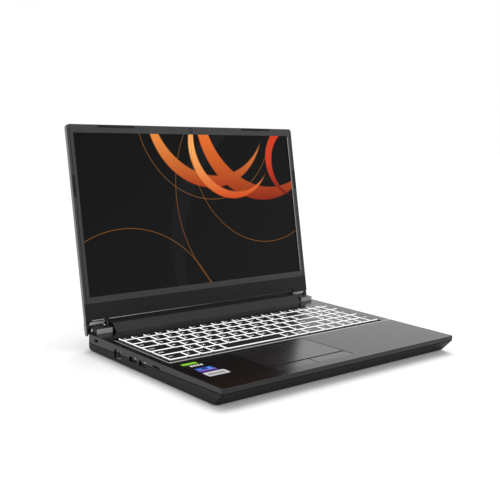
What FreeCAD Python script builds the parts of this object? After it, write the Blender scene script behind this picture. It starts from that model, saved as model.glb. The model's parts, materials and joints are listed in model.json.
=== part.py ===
import FreeCAD, Part
import Sketcher
import math
import os
import re
from FreeCAD import Placement, Rotation, Vector

# A 15.6 inch notebook computer, open, standing on its rubber feet.
# X runs to the right, Y to the rear and Z up; the origin is on the table under the middle of the case.
# Lid pieces are drawn in the closed position and turned open about the hinge pins.
SIZES = {
    # Case
    "case_width": 362.0,
    "case_depth": 258.0,
    "corner_cut": 12.0,
    "corner_round": 3.0,
    "deck_height": 21.0,
    "deck_wall": 2.4,
    "case_wall": 1.8,
    "edge_round": 0.6,
    "seam_front": 5.4,
    "seam_tilt": 1.28,
    "seam_gap": 0.45,
    "foot_height": 1.5,
    "foot_width": 9.0,
    "foot_length": 78.0,
    "foot_inset": 9.0,
    "floor_wall": 1.8,
    "skirt_front": 11.5,
    "skirt_rear": 9.5,
    "skirt_side": 1.2,
    "skirt_round": 6.0,
    "notch_width": 3.2,
    "notch_height": 1.8,
    "notch_depth": 0.8,
    "notch_lift": 7.6,
    "vent_pitch": 5.0,
    "vent_width": 2.2,
    "vent_length": 44.0,
    "exhaust_pitch": 5.4,
    "exhaust_width": 3.2,
    "exhaust_lift": 1.4,
    "exhaust_tall": 3.6,
    "light_left": 42.0,
    "light_pitch": 7.0,
    "light_width": 1.8,
    "light_tall": 0.9,
    "light_drop": 3.0,
    "light_set": 0.1,
    # Keyboard
    "key_inset": 12.6,
    "pad_inset": 18.2,
    "key_back": 29.6,
    "row_pitch": 18.0,
    "pad_pitch": 15.7,
    "key_gap": 0.9,
    "key_taper": 1.15,
    "key_proud": 2.0,
    "key_travel": 1.5,
    "key_stop": 0.1,
    "small_key_depth": 12.2,
    "key_post": 4.0,
    "post_reach": 2.0,
    "post_clearance": 0.25,
    "key_margin": 3.4,
    "plate_wall": 1.0,
    "plate_lap": 3.0,
    # Touch pad
    "touch_x": -39.3,
    "touch_width": 112.5,
    "touch_gap": 6.4,
    "touch_round": 1.0,
    "palm_edge": 13.5,
    "button_depth": 15.0,
    "button_tall": 1.4,
    "line_gap": 0.35,
    "touch_drop": 0.1,
    # Hinge
    "hinge_back": 10.4,
    "hinge_drop": 2.2,
    "lid_open": 101.93,
    "pin_radius": 2.0,
    "pin_clearance": 0.05,
    "knuckle_radius": 3.6,
    "pin_head": 3.0,
    "pin_head_tall": 1.0,
    "pin_end_gap": 0.3,
    "pin_room": 6.3,
    "arm_lap": 7.0,
    "arm_play": 0.2,
    "slot_reach": 8.0,
    "chin_slot": 2.6,
    "flange_wall": 1.2,
    "flange_lap": 2.0,
    "flange_gap": 3.0,
    "arm_wall": 2.5,
    "arm_round": 4.6,
    "arm_gap": 0.5,
    "block_inset": 6.0,
    "bar_toe": 12.6,
    "bar_rise": 9.0,
    "bar_top": 10.0,
    "bar_wall": 1.5,
    "block_width": 21.0,
    "block_front": 9.1,
    "block_rear": 6.4,
    "block_rise": 5.7,
    "block_wall": 1.2,
    "block_corner": 2.8,
    "bracket_wall": 1.6,
    "bracket_length": 34.0,
    # Lid
    "lid_inset": 1.0,
    "lid_wall": 1.6,
    "lid_thick": 6.4,
    "lid_gap": 1.3,
    "lid_front_gap": 0.4,
    "lid_round": 4.0,
    "lid_edge_round": 1.2,
    "chin_back": 15.35,
    "lip_back": 9.35,
    "ear_width": 2.0,
    "ear_reach": 1.5,
    "ear_lap": 4.0,
    "ear_gap": 0.6,
    "ear_front_cut": 1.6,
    "ear_back_cut": 2.2,
    "web_wall": 1.2,
    "web_flat": 6.5,
    "web_run": 3.5,
    "web_back": 7.1,
    "bezel_side": 7.6,
    "window_top": 10.0,
    "chin_depth": 20.35,
    "bezel_wall": 1.2,
    "strip_depth": 7.3,
    "panel_wall": 2.6,
    "panel_lap": 2.0,
    "panel_round": 1.0,
    "bumper_tall": 0.6,
    "bumper_width": 2.4,
    "bumper_edge": 2.0,
    "bumper_inset": 2.6,
    "bumper_side": 41.5,
    "bumper_length": 52.0,
    "bumper_drop": 59.5,
    "side_bumper_length": 26.0,
    "trim_wall": 0.6,
    "trim_set": 0.4,
    "trim_width": 3.2,
    "trim_inset": 0.5,
    "lens_radius": 1.6,
    "lens_drop": 4.8,
    "lens_play": 0.1,
    "lens_set": 0.15,
    "camera_length": 32.0,
    "camera_tall": 2.0,
    "camera_gap": 0.2,
    # Inside
    "board_wall": 1.2,
    "board_lift": 5.0,
    "board_inset": 13.0,
    "wing_inset": 29.0,
    "board_reach": 161.0,
    "board_back": 29.0,
    "right_wing_back": 89.0,
    "left_wing_back": 65.0,
    "board_clear": 5.0,
    "shoulder_clear": 3.0,
    "chip_tall": 1.6,
    "processor_x": -25.0,
    "processor_width": 38.0,
    "processor_back": 82.0,
    "processor_depth": 26.0,
    "graphics_x": 32.0,
    "graphics_width": 36.0,
    "graphics_back": 79.0,
    "graphics_depth": 32.0,
    "drive_gap": 6.0,
    "drive_length": 80.0,
    "drive_back": 132.0,
    "drive_width": 22.0,
    "drive_tall": 2.4,
    "wireless_side": 56.0,
    "wireless_length": 30.0,
    "wireless_back": 140.0,
    "wireless_width": 22.0,
    "wireless_tall": 2.2,
    "memory_gap": 4.8,
    "memory_length": 67.6,
    "memory_back": 140.0,
    "memory_depth": 30.0,
    "memory_tall": 3.8,
    "battery_side": 57.0,
    "battery_gap": 2.0,
    "battery_clear": 10.0,
    "battery_tall": 10.0,
    "pack_round": 4.0,
    "speaker_side": 25.0,
    "speaker_width": 26.0,
    "speaker_front": 21.0,
    "speaker_clear": 16.0,
    "speaker_tall": 8.0,
    "cone_radius": 9.0,
    "cone_tall": 1.2,
    "fan_radius": 30.0,
    "fan_side": 69.0,
    "fan_back": 71.0,
    "fan_lift": 0.5,
    "fan_rim": 5.0,
    "fan_round": 6.0,
    "fan_tip_gap": 2.0,
    "fan_inlet": 19.8,
    "fan_outlet": 54.0,
    "rotor_gap": 0.6,
    "blade_root": 1.0,
    "fan_tall": 9.0,
    "fan_wall": 0.8,
    "fan_shaft": 1.5,
    "hub_radius": 13.0,
    "blade_wall": 0.7,
    "fin_wall": 0.5,
    "fin_pitch": 2.5,
    "fin_depth": 14.0,
    "fin_gap": 1.0,
    "pipe_radius": 2.6,
    "pipe_lift": 0.4,
    "pipe_overrun": 3.5,
    "pipe_back": 83.0,
    "bridge_depth": 10.0,
    "bridge_from": 40.0,
    "cold_margin": 4.0,
    "pillar_radius": 3.4,
    "pillar_side": 14.0,
    "pillar_front": 25.0,
    "pillar_back": 17.0,
    "pillar_pitch": 75.0,
    "pillar_gap": 6.9,
    "pillar_play": 0.5,
    "post_x": 60.0,
    "post_back": 119.0,
    "post_rear_back": 37.0,
    "post_side": 23.0,
    "post_side_back": 129.0,
    "screw_reach": 6.0,
    "screw_radius": 1.1,
    "screw_head": 2.2,
    "screw_head_tall": 0.8,
    # Sockets
    "socket_set": 2.4,
    "socket_wall": 1.0,
    "net_back": 73.2,
    "net_wall": 1.5,
    "net_floor": 1.0,
    "net_catch_width": 4.0,
    "net_catch_tall": 1.4,
    "net_width": 13.4,
    "net_tall": 10.4,
    "net_z": 10.4,
    "net_mouth_width": 11.8,
    "net_mouth_tall": 7.0,
    "usb_width": 13.1,
    "usb_tall": 5.7,
    "usb_wall": 0.4,
    "usb_z": 12.1,
    "usb_rear_back": 104.0,
    "usb_front_back": 122.7,
    "tongue_set": 0.8,
    "tongue_inset": 1.4,
    "tongue_lift": 0.1,
    "tongue_wall": 1.8,
    "card_back": 148.0,
    "card_wall": 0.35,
    "card_width": 12.2,
    "card_tall": 1.5,
    "card_z": 15.0,
    "lock_back": 28.5,
    "lock_z": 16.2,
    "lock_width": 7.0,
    "lock_tall": 3.0,
    "notch_corner": 9.2,
    "notch_left": 67.5,
    "notch_middle": 7.1,
    "notch_right": 30.7,
    "jack_radius": 1.75,
    "jack_body": 3.2,
    "jack_back": 141.0,
    "jack_pitch": 13.0,
    "jack_z": 12.6,
    "rear_port_z": 13.4,
    "rear_port_depth": 13.6,
    "rear_port_wall": 0.6,
    "rear_port_end": 2.0,
    "rear_tongue_wall": 0.9,
    "display_port_x": -50.0,
    "display_port_width": 15.2,
    "display_port_tall": 5.8,
    "small_port_x": -22.0,
    "small_port_width": 9.6,
    "small_port_tall": 3.6,
    "power_port_x": 36.0,
    "power_port_width": 8.4,
    "power_port_tall": 8.4,
    "port_clearance": 0.2,
}

doc = FreeCAD.newDocument("laptop_computer")
sheet = doc.addObject("Spreadsheet::Sheet", "Dims")
for row, (alias, size) in enumerate(SIZES.items(), 1):
    sheet.set(f"A{row}", alias)
    sheet.set(f"B{row}", str(size))
    sheet.setAlias(f"B{row}", alias)
doc.recompute()

# Heights and places that several pieces share, written as expressions of the sheet's sizes.
DECK = "deck_height"
UNDER_DECK = "(deck_height - deck_wall)"
FLOOR = "foot_height"
INSIDE_FLOOR = "(foot_height + floor_wall)"
FRONT = "(-case_depth / 2)"
REAR = "(case_depth / 2)"
SIDE = "(case_width / 2)"
SEAM = "(deck_height - seam_front)"
HINGE_Y = f"({REAR} - hinge_back)"
HINGE_Z = "(deck_height - hinge_drop)"
BAR_TOE = f"({HINGE_Y} - bar_toe)"
FAN_X = f"({SIDE} - fan_side)"
FAN_Y = f"({REAR} - fan_back)"
SIDES = (("left", -1), ("right", 1))

# Places that stay put against the rear or the front edge.
NET_Y = f"({REAR} - net_back)"
USB_REAR_Y = f"({REAR} - usb_rear_back)"
USB_FRONT_Y = f"({REAR} - usb_front_back)"
CARD_Y = f"({REAR} - card_back)"
LOCK_Y = f"({REAR} - lock_back)"
JACK_Y = f"({REAR} - jack_back)"
REAR_PORTS = ("display_port", "small_port", "power_port")
JACKS = 2
LIGHTS = 6
VENT_SLOTS = 9
EXHAUST_SLOTS = 11
BLADES = 24
FINS = 23

NODES = []
FLAT = Rotation()
UPRIGHT_SIDE = Rotation(Vector(1, 1, 1), 120)
TURNS = {
    "X": Rotation(Vector(0, 1, 0), 90),
    "Y": Rotation(Vector(1, 0, 0), -90),
    "Z": FLAT,
}


def formula(text):
    """The text with each size's name pointing at its cell."""
    return re.sub(r"[a-z_]\w*", lambda word: "Dims." + word[0] if word[0] in SIZES else word[0], str(text))


def number(text):
    """The value that an expression has now."""
    return float(sheet.evalExpression(formula(text)))


def bind(item, **properties):
    for name, text in properties.items():
        item.setExpression(name, formula(text))


def move_to(item, x, y, z):
    for axis, text in zip("xyz", (x, y, z)):
        item.setExpression("Placement.Base." + axis, formula(text))


def box(name, x, y, z):
    """A block between a low and a high place on each axis."""
    item = doc.addObject("Part::Box", name)
    for side, (low, high) in zip(("Length", "Width", "Height"), (x, y, z)):
        bind(item, **{side: f"({high}) - ({low})"})
    move_to(item, x[0], y[0], z[0])
    return item


def rod(name, axis, at, radius, length):
    """A cylinder that runs from a point along one axis."""
    item = doc.addObject("Part::Cylinder", name)
    item.Placement = Placement(Vector(), TURNS[axis])
    bind(item, Radius=radius, Height=length)
    move_to(item, *at)
    return item


def polygon(name, points):
    """A closed sketch whose corners are pairs of expressions."""
    sketch = doc.addObject("Sketcher::SketchObject", name)
    corners = [Vector(number(x), number(y)) for x, y in points]
    for start, end in zip(corners, corners[1:] + corners[:1]):
        sketch.addGeometry(Part.LineSegment(start, end))
    count = len(points)
    for side in range(count):
        sketch.addConstraint(Sketcher.Constraint("Coincident", side, 2, (side + 1) % count, 1))
    for side, (point, corner) in enumerate(zip(points, corners)):
        for kind, text, size in zip(("DistanceX", "DistanceY"), point, corner):
            index = sketch.addConstraint(Sketcher.Constraint(kind, -1, 1, side, 1, size))
            sketch.setExpression(f"Constraints[{index}]", formula(text))
    return sketch


def rounded_outline(name, x, y, radius):
    """A closed sketch of a rectangle with round corners."""
    sketch = doc.addObject("Sketcher::SketchObject", name)
    (left, right), (front, back) = [[number(text) for text in pair] for pair in (x, y)]
    bend = number(radius)
    sides = [
        (Vector(left + bend, front), Vector(right - bend, front)),
        (Vector(right, front + bend), Vector(right, back - bend)),
        (Vector(right - bend, back), Vector(left + bend, back)),
        (Vector(left, back - bend), Vector(left, front + bend)),
    ]
    centres = [
        Vector(right - bend, front + bend),
        Vector(right - bend, back - bend),
        Vector(left + bend, back - bend),
        Vector(left + bend, front + bend),
    ]
    for start, end in sides:
        sketch.addGeometry(Part.LineSegment(start, end))
    for quarter, centre in enumerate(centres):
        circle = Part.Circle(centre, Vector(0, 0, 1), bend)
        start = (quarter - 1) * math.pi / 2
        sketch.addGeometry(Part.ArcOfCircle(circle, start, start + math.pi / 2))
    for side in range(4):
        arc = 4 + side
        sketch.addConstraint(Sketcher.Constraint("Tangent", side, 2, arc, 1))
        sketch.addConstraint(Sketcher.Constraint("Tangent", arc, 2, (side + 1) % 4, 1))
        sketch.addConstraint(Sketcher.Constraint("Horizontal" if side % 2 == 0 else "Vertical", side))
    for arc in (5, 6, 7):
        sketch.addConstraint(Sketcher.Constraint("Equal", 4, arc))
    limits = (
        (Sketcher.Constraint("Radius", 4, bend), radius),
        (Sketcher.Constraint("DistanceY", -1, 1, 0, 1, front), y[0]),
        (Sketcher.Constraint("DistanceX", -1, 1, 1, 1, right), x[1]),
        (Sketcher.Constraint("DistanceY", -1, 1, 2, 1, back), y[1]),
        (Sketcher.Constraint("DistanceX", -1, 1, 3, 1, left), x[0]),
    )
    for limit, text in limits:
        index = sketch.addConstraint(limit)
        sketch.setExpression(f"Constraints[{index}]", formula(text))
    return sketch


def drawn_out(name, sketch, direction, length):
    """A solid drawn out from a sketch."""
    item = doc.addObject("Part::Extrusion", name)
    item.Base = sketch
    item.DirMode = "Custom"
    item.Dir = direction
    item.Solid = True
    bind(item, LengthFwd=length)
    return item


def plan_prism(name, points, z):
    """A prism on a plan of (x, y) corners between two heights."""
    sketch = polygon(name + "_plan", points)
    bind(sketch, **{"Placement.Base.z": z[0]})
    return drawn_out(name, sketch, Vector(0, 0, 1), f"({z[1]}) - ({z[0]})")


def side_prism(name, points, x):
    """A prism on a side view of (y, z) corners between two places on X."""
    sketch = polygon(name + "_side", points)
    sketch.Placement = Placement(Vector(), UPRIGHT_SIDE)
    bind(sketch, **{"Placement.Base.x": x[0]})
    return drawn_out(name, sketch, Vector(1, 0, 0), f"({x[1]}) - ({x[0]})")


def rounded_slab(name, x, y, z, radius):
    """A slab with round upright corners."""
    sketch = rounded_outline(name + "_plan", x, y, radius)
    bind(sketch, **{"Placement.Base.z": z[0]})
    return drawn_out(name, sketch, Vector(0, 0, 1), f"({z[1]}) - ({z[0]})")


def together(name, items):
    """Several separate solids kept as one group."""
    item = doc.addObject("Part::Compound", name)
    item.Links = list(items)
    return item


def joined(name, items):
    item = doc.addObject("Part::MultiFuse", name)
    item.Shapes = list(items)
    item.Refine = True
    return item


def shared(name, first, second):
    item = doc.addObject("Part::MultiCommon", name)
    item.Shapes = [first, second]
    return item


def cut(name, base, tools):
    """The base without its tools; the tools may overlap each other."""
    item = doc.addObject("Part::Cut", name)
    item.Base = base
    item.Tool = tools[0] if len(tools) == 1 else joined(name + "_tools", tools)
    item.Refine = True
    return item


def rounded(name, base, radius, pick):
    """The base with the picked edges rounded."""
    doc.recompute()
    size = number(radius)
    chosen = [place for place, edge in enumerate(base.Shape.Edges, 1) if pick(edge)]
    item = doc.addObject("Part::Fillet", name)
    item.Base = base
    item.Edges = [(place, size, size) for place in chosen]
    return item


def node(name, item):
    """Marks a finished piece of the computer."""
    item.Label = name
    NODES.append(item)
    return item


def lid_node(name, item):
    """A finished piece of the lid, turned open about the hinge pins."""
    item.Placement = Placement(Vector(), Rotation(Vector(1, 0, 0), -number("lid_open")))
    turned_y = f"{HINGE_Y} * (1 - cos(lid_open)) - {HINGE_Z} * sin(lid_open)"
    turned_z = f"{HINGE_Z} * (1 - cos(lid_open)) + {HINGE_Y} * sin(lid_open)"
    bind(item, **{"Placement.Rotation.Angle": "-lid_open"})
    move_to(item, "0", turned_y, turned_z)
    return node(name, item)


def both_sides(make):
    """Calls a maker for the left piece and for the right piece."""
    for side, sign in SIDES:
        make(side, sign)


def span(sign, low, high):
    """A stretch of X on the left or the right, from the inner to the outer place."""
    return (low, high) if sign > 0 else (f"-({high})", f"-({low})")


# The case: a tapered tub under a straight-sided upper shell, parted along a sloping seam.
PAST = "2"
NEAR = 0.01
DIAGONAL = "1.414"
ROUND_END = "0.49"
REAR_WALL = (f"{REAR} - skirt_rear - 3 * case_wall", f"{REAR} + {PAST}")
CORNER_LINE = f"({SIDE} + {REAR} - corner_cut)"
INNER_CORNER_LINE = f"({CORNER_LINE} - {DIAGONAL} * case_wall)"


def seam_height(y):
    """Height of the seam at a place along Y."""
    return f"({SEAM} - (({y}) - {FRONT}) * tan(seam_tilt))"


def rear_corners(name, line):
    """Two upright prisms that take off the rear corners along a 45 degree line."""
    prisms = []
    for side, sign in SIDES:
        outer_x = f"({SIDE} + {PAST})"
        outer_y = f"({REAR} + {PAST})"
        points = [
            (f"{sign} * ({line} - {outer_y})", outer_y),
            (f"{sign} * {outer_x}", f"{line} - {outer_x}"),
            (f"{sign} * {outer_x}", outer_y),
        ]
        prisms.append(plan_prism(f"{name}_{side}", points, ("0", f"{DECK} + {PAST}")))
    return prisms


def tapered_form(name, wall, top_drop, bottom, line):
    """The tub's outer or inner form: a loft from the sloping seam to the floor, less the rear corners."""
    length = "case_depth / cos(seam_tilt)"
    seam_sketch = rounded_outline(
        name + "_seam",
        (f"-({SIDE} - {wall})", f"{SIDE} - {wall}"),
        (wall, f"{length} - {wall}"),
        "corner_round",
    )
    seam_sketch.Placement = Placement(Vector(), Rotation(Vector(1, 0, 0), -number("seam_tilt")))
    bind(seam_sketch, **{"Placement.Rotation.Angle": "-seam_tilt"})
    move_to(seam_sketch, "0", FRONT, f"{SEAM} - {top_drop}")
    floor_sketch = rounded_outline(
        name + "_floor",
        (f"-({SIDE} - skirt_side - {wall})", f"{SIDE} - skirt_side - {wall}"),
        (f"{FRONT} + skirt_front + {wall}", f"{REAR} - skirt_rear - {wall}"),
        "skirt_round",
    )
    bind(floor_sketch, **{"Placement.Base.z": bottom})
    loft = doc.addObject("Part::Loft", name + "_loft")
    loft.Sections = [floor_sketch, seam_sketch]
    loft.Solid = True
    loft.Ruled = True
    return cut(name, loft, rear_corners(name + "_corner", line))


# The keyboard's rows of caps, from the front, and its number pad; both set the deck's opening.
MAIN_WIDTH = 15
PAD_COLUMNS = 4
MAIN_ROWS = 5
SMALL_KEYS = 20
KEY_ROOM = "(case_width - key_inset - pad_inset)"
KEY_LEFT = f"(key_inset - {SIDE})"
KEYS_RIGHT = f"({SIDE} - pad_inset)"
KEYS_REAR = f"({BAR_TOE} - key_back)"
SMALL_FRONT = f"({KEYS_REAR} - small_key_depth)"
KEY_FRONT = f"({SMALL_FRONT} - {MAIN_ROWS} * row_pitch)"
KEY_PITCH = f"(({KEY_ROOM} - {PAD_COLUMNS} * pad_pitch) / {MAIN_WIDTH})"
SMALL_PITCH = f"({KEY_ROOM} / {SMALL_KEYS})"
PAD_LEFT = f"({KEYS_RIGHT} - {PAD_COLUMNS} * pad_pitch)"
KEY_OPENING_X = (f"{KEY_LEFT} - key_margin", f"{KEYS_RIGHT} + key_margin")
KEY_OPENING_Y = (f"{KEY_FRONT} - key_margin", f"{KEYS_REAR} + key_margin")

# Screw pillars stand between the deck and the floor: two pairs beside the palm rest, three behind the board.
PILLAR_SIDE = f"({SIDE} - pillar_side)"
PALM_PILLAR_Y = f"({KEY_FRONT} - key_margin - plate_lap - pillar_gap)"
PALM_PILLARS_Y = (f"{FRONT} + pillar_front", PALM_PILLAR_Y)
PILLARS = [(f"{sign} * {PILLAR_SIDE}", y) for y in PALM_PILLARS_Y for sign in (-1, 1)]
PILLARS += [(f"{place} * pillar_pitch", f"{REAR} - pillar_back") for place in (-1, 0, 1)]
BOARD_POSTS = [(f"{sign} * post_x", f"{REAR} - post_back") for sign in (-1, 1)]
BOARD_POSTS += [(f"{sign} * ({SIDE} - post_side)", f"{REAR} - post_side_back") for sign in (-1, 1)]
BOARD_POSTS += [("0", f"{REAR} - post_rear_back")]
# Small thumb notches along the front edge, as distances from the left or the right side.
NOTCHES = [f"notch_corner - {SIDE}", f"notch_left - {SIDE}", "notch_middle", f"{SIDE} - notch_right"]


def around(centre, size, spare="0"):
    """A stretch of one axis, centred, with something to spare at both ends."""
    return (f"({centre}) - ({size}) / 2 - ({spare})", f"({centre}) + ({size}) / 2 + ({spare})")


def side_hole(name, sign, y, z):
    """An opening through the left or the right wall."""
    return box(name, span(sign, f"{SIDE} - skirt_side - 3 * case_wall", f"{SIDE} + {PAST}"), y, z)


def port_holes(name):
    """Openings for the sockets, in both shells alike."""
    spare = "port_clearance"
    usb_z = around("usb_z", "usb_tall", spare)
    left_ports = {
        "net": (around(NET_Y, "net_width", spare), around("net_z", "net_tall", spare)),
        "usb_rear": (around(USB_REAR_Y, "usb_width", spare), usb_z),
        "usb_front": (around(USB_FRONT_Y, "usb_width", spare), usb_z),
        "card": (around(CARD_Y, "card_width", spare), around("card_z", "card_tall", spare)),
        "lock": (around(LOCK_Y, "lock_width"), around("lock_z", "lock_tall")),
    }
    holes = [side_hole(f"{name}_{port}", -1, y, z) for port, (y, z) in left_ports.items()]
    holes.append(side_hole(name + "_usb_right", 1, around(USB_REAR_Y, "usb_width", spare), usb_z))
    deep = "skirt_side + 3 * case_wall"
    for place in range(JACKS):
        at = (f"{SIDE} - ({deep})", f"{JACK_Y} - {place} * jack_pitch", "jack_z")
        holes.append(rod(f"{name}_jack_{place}", "X", at, "jack_body + port_clearance", f"{deep} + {PAST}"))
    for port in REAR_PORTS:
        x, z = around(f"{port}_x", f"{port}_width", spare), around("rear_port_z", f"{port}_tall", spare)
        holes.append(box(f"{name}_{port}", x, REAR_WALL, z))
    return holes


def make_bottom_cover():
    outer = tapered_form("tub", "0", "seam_gap", FLOOR, CORNER_LINE)
    inner = tapered_form("tub_hollow", "case_wall", "seam_gap", INSIDE_FLOOR, INNER_CORNER_LINE)
    shell = cut("tub_shell", outer, [inner])
    posts = []
    for place, (x, y) in enumerate(BOARD_POSTS):
        tall = f"board_lift - {INSIDE_FLOOR}"
        posts.append(rod(f"board_post_{place}", "Z", (x, y, INSIDE_FLOOR), "pillar_radius", tall))
    openings = port_holes("tub_port")
    for place, (x, y) in enumerate(PILLARS):
        below = (x, y, "0")
        openings.append(rod(f"screw_way_{place}", "Z", below, "screw_radius", f"{INSIDE_FLOOR} + {PAST}"))
        openings.append(rod(f"screw_seat_{place}", "Z", below, "screw_head", f"{FLOOR} + screw_head_tall"))
    for side, sign in SIDES:
        for place in range(VENT_SLOTS):
            x = around(f"{sign} * {FAN_X} + {place - VENT_SLOTS // 2} * vent_pitch", "vent_width")
            y = around(FAN_Y, "vent_length")
            openings.append(box(f"vent_{side}_{place}", x, y, ("0", f"{INSIDE_FLOOR} + {PAST}")))
        for place in range(EXHAUST_SLOTS):
            x = around(f"{sign} * {FAN_X} + {place - EXHAUST_SLOTS // 2} * exhaust_pitch", "exhaust_width")
            low = f"{INSIDE_FLOOR} + exhaust_lift"
            openings.append(box(f"exhaust_{side}_{place}", x, REAR_WALL, (low, f"{low} + exhaust_tall")))
    for place, x in enumerate(NOTCHES):
        reach = f"skirt_front * ({SEAM} - seam_gap - notch_lift) / ({SEAM} - seam_gap - {FLOOR})"
        y = (f"{FRONT} - {PAST}", f"{FRONT} + {reach} + notch_depth")
        z = around("notch_lift", "notch_height")
        openings.append(box(f"notch_{place}", around(x, "notch_width"), y, z))
    node("bottom_cover", cut("bottom_cover", joined("tub_with_posts", [shell] + posts), openings))


# Hinge places on one side: the arm's slot beside the bar, then the block that covers the knuckle.
BLOCK_OUT = f"({SIDE} - block_inset)"
BLOCK_IN = f"({BLOCK_OUT} - block_width)"
BAR_HALF = f"({BLOCK_IN} - arm_wall - 2 * arm_gap)"
BLOCK_FRONT = f"({HINGE_Y} - block_front)"
BLOCK_REAR = f"({HINGE_Y} + block_rear)"
# The touch pad's opening in the palm rest.
TOUCH_X = around("touch_x", "touch_width")
TOUCH_Y = (f"{FRONT} + palm_edge", f"{KEY_OPENING_Y[0]} - touch_gap")


def block_plan(sign, inset):
    """Plan of the hinge block, or of its hollow when it is inset."""
    line = f"({CORNER_LINE} - block_corner - {DIAGONAL} * ({inset}))"
    inner = f"({BLOCK_IN} + {inset})"
    outer = f"({BLOCK_OUT} - {inset})"
    front = f"({BLOCK_FRONT} + {inset})"
    rear = f"({BLOCK_REAR} - {inset})"
    corners = [(outer, f"{line} - {outer}"), (f"({line} - {rear})", rear)]
    places = [(inner, front), (outer, front), *corners, (inner, rear)]
    return [(f"{sign} * {x}", y) for x, y in places]


def make_top_case():
    slab = rounded_slab("upper_slab", (f"-{SIDE}", SIDE), (FRONT, REAR), (FLOOR, DECK), "corner_round")
    top = number(DECK)
    eased = rounded("upper_eased", slab, "edge_round", lambda edge: edge.BoundBox.ZMin > top - NEAR)
    below = side_prism(
        "below_seam",
        [
            (f"{FRONT} - {PAST}", seam_height(f"{FRONT} - {PAST}")),
            (f"{REAR} + {PAST}", seam_height(f"{REAR} + {PAST}")),
            (f"{REAR} + {PAST}", "0"),
            (f"{FRONT} - {PAST}", "0"),
        ],
        (f"-{SIDE} - {PAST}", f"{SIDE} + {PAST}"),
    )
    room = rounded_slab(
        "upper_room",
        (f"-({SIDE} - case_wall)", f"{SIDE} - case_wall"),
        (f"{FRONT} + case_wall", f"{REAR} - case_wall"),
        ("0", UNDER_DECK),
        "corner_round",
    )
    hollow = cut("upper_hollow", room, rear_corners("upper_room_corner", INNER_CORNER_LINE))
    shell = cut("upper_shell", eased, [below, hollow] + rear_corners("upper_corner", CORNER_LINE))
    pillars = []
    for place, (x, y) in enumerate(PILLARS):
        tall = f"{UNDER_DECK} - {INSIDE_FLOOR}"
        pillars.append(rod(f"pillar_{place}", "Z", (x, y, INSIDE_FLOOR), "pillar_radius", tall))
    through = (f"{UNDER_DECK} - {PAST}", f"{DECK} + {PAST}")
    openings = port_holes("upper_port")
    openings.append(rounded_slab("key_opening", KEY_OPENING_X, KEY_OPENING_Y, through, "corner_round / 2"))
    openings.append(rounded_slab("touch_opening", TOUCH_X, TOUCH_Y, through, "touch_round"))
    for place, (x, y) in enumerate(PILLARS):
        bore_top = f"{INSIDE_FLOOR} + screw_reach"
        openings.append(rod(f"pillar_bore_{place}", "Z", (x, y, "0"), "screw_radius", bore_top))
    for side, sign in SIDES:
        well = (f"{HINGE_Z} - arm_round - {PAST}", f"{DECK} + {PAST}")
        slot_x = span(sign, BAR_HALF, BLOCK_IN)
        slot_y = (f"{HINGE_Y} - arm_round - slot_reach", f"{REAR} + {PAST}")
        openings.append(box(f"arm_slot_{side}", slot_x, slot_y, well))
        openings.append(plan_prism(f"knuckle_well_{side}", block_plan(sign, "block_wall"), through))
        pin_x = span(sign, f"{BLOCK_IN} - block_wall", f"{BLOCK_IN} + 2 * block_wall")
        openings.append(box(f"pin_way_{side}", pin_x, around(HINGE_Y, "2 * pin_radius", "arm_gap"), through))
    for place in range(LIGHTS):
        openings.append(light_box(f"light_hole_{place}", place))
    node("top_case", cut("top_case", joined("upper_with_pillars", [shell] + pillars), openings))


def light_box(name, place):
    """One of the status lights in a row along the front edge."""
    x = around(f"light_left - {SIDE} + {place} * light_pitch", "light_width")
    z = around(f"{DECK} - light_drop", "light_tall")
    return box(name, x, (f"{FRONT} + light_set", f"{FRONT} + case_wall"), z)


def make_case_trim():
    lights = [light_box(f"light_{place}", place) for place in range(LIGHTS)]
    node("status_lights", together("status_lights", lights))
    screws = []
    for place, (x, y) in enumerate(PILLARS):
        head = rod(f"screw_head_{place}", "Z", (x, y, FLOOR), "screw_head", "screw_head_tall")
        shank = rod(f"screw_shank_{place}", "Z", (x, y, FLOOR), "screw_radius", "floor_wall + screw_reach")
        screws.append(joined(f"screw_{place}", [head, shank]))
    node("bottom_screws", together("bottom_screws", screws))
    rows = {
        "front": f"{FRONT} + skirt_front + foot_inset",
        "rear": f"{REAR} - skirt_rear - foot_inset",
    }
    feet = [rubber_foot("foot_middle", "0", "foot_length / 2", "0")]
    for end, y in rows.items():
        for side, sign in SIDES:
            x = f"{sign} * ({SIDE} - skirt_side - skirt_round - foot_length / 2)"
            feet.append(rubber_foot(f"foot_{end}_{side}", x, "foot_length", y))
    node("rubber_feet", together("rubber_feet", feet))


def rubber_foot(name, x, length, y):
    """A strip with round ends under the floor."""
    bend = f"foot_width * {ROUND_END}"
    return rounded_slab(name, around(x, length), around(y, "foot_width"), ("0", FLOOR), bend)


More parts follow.
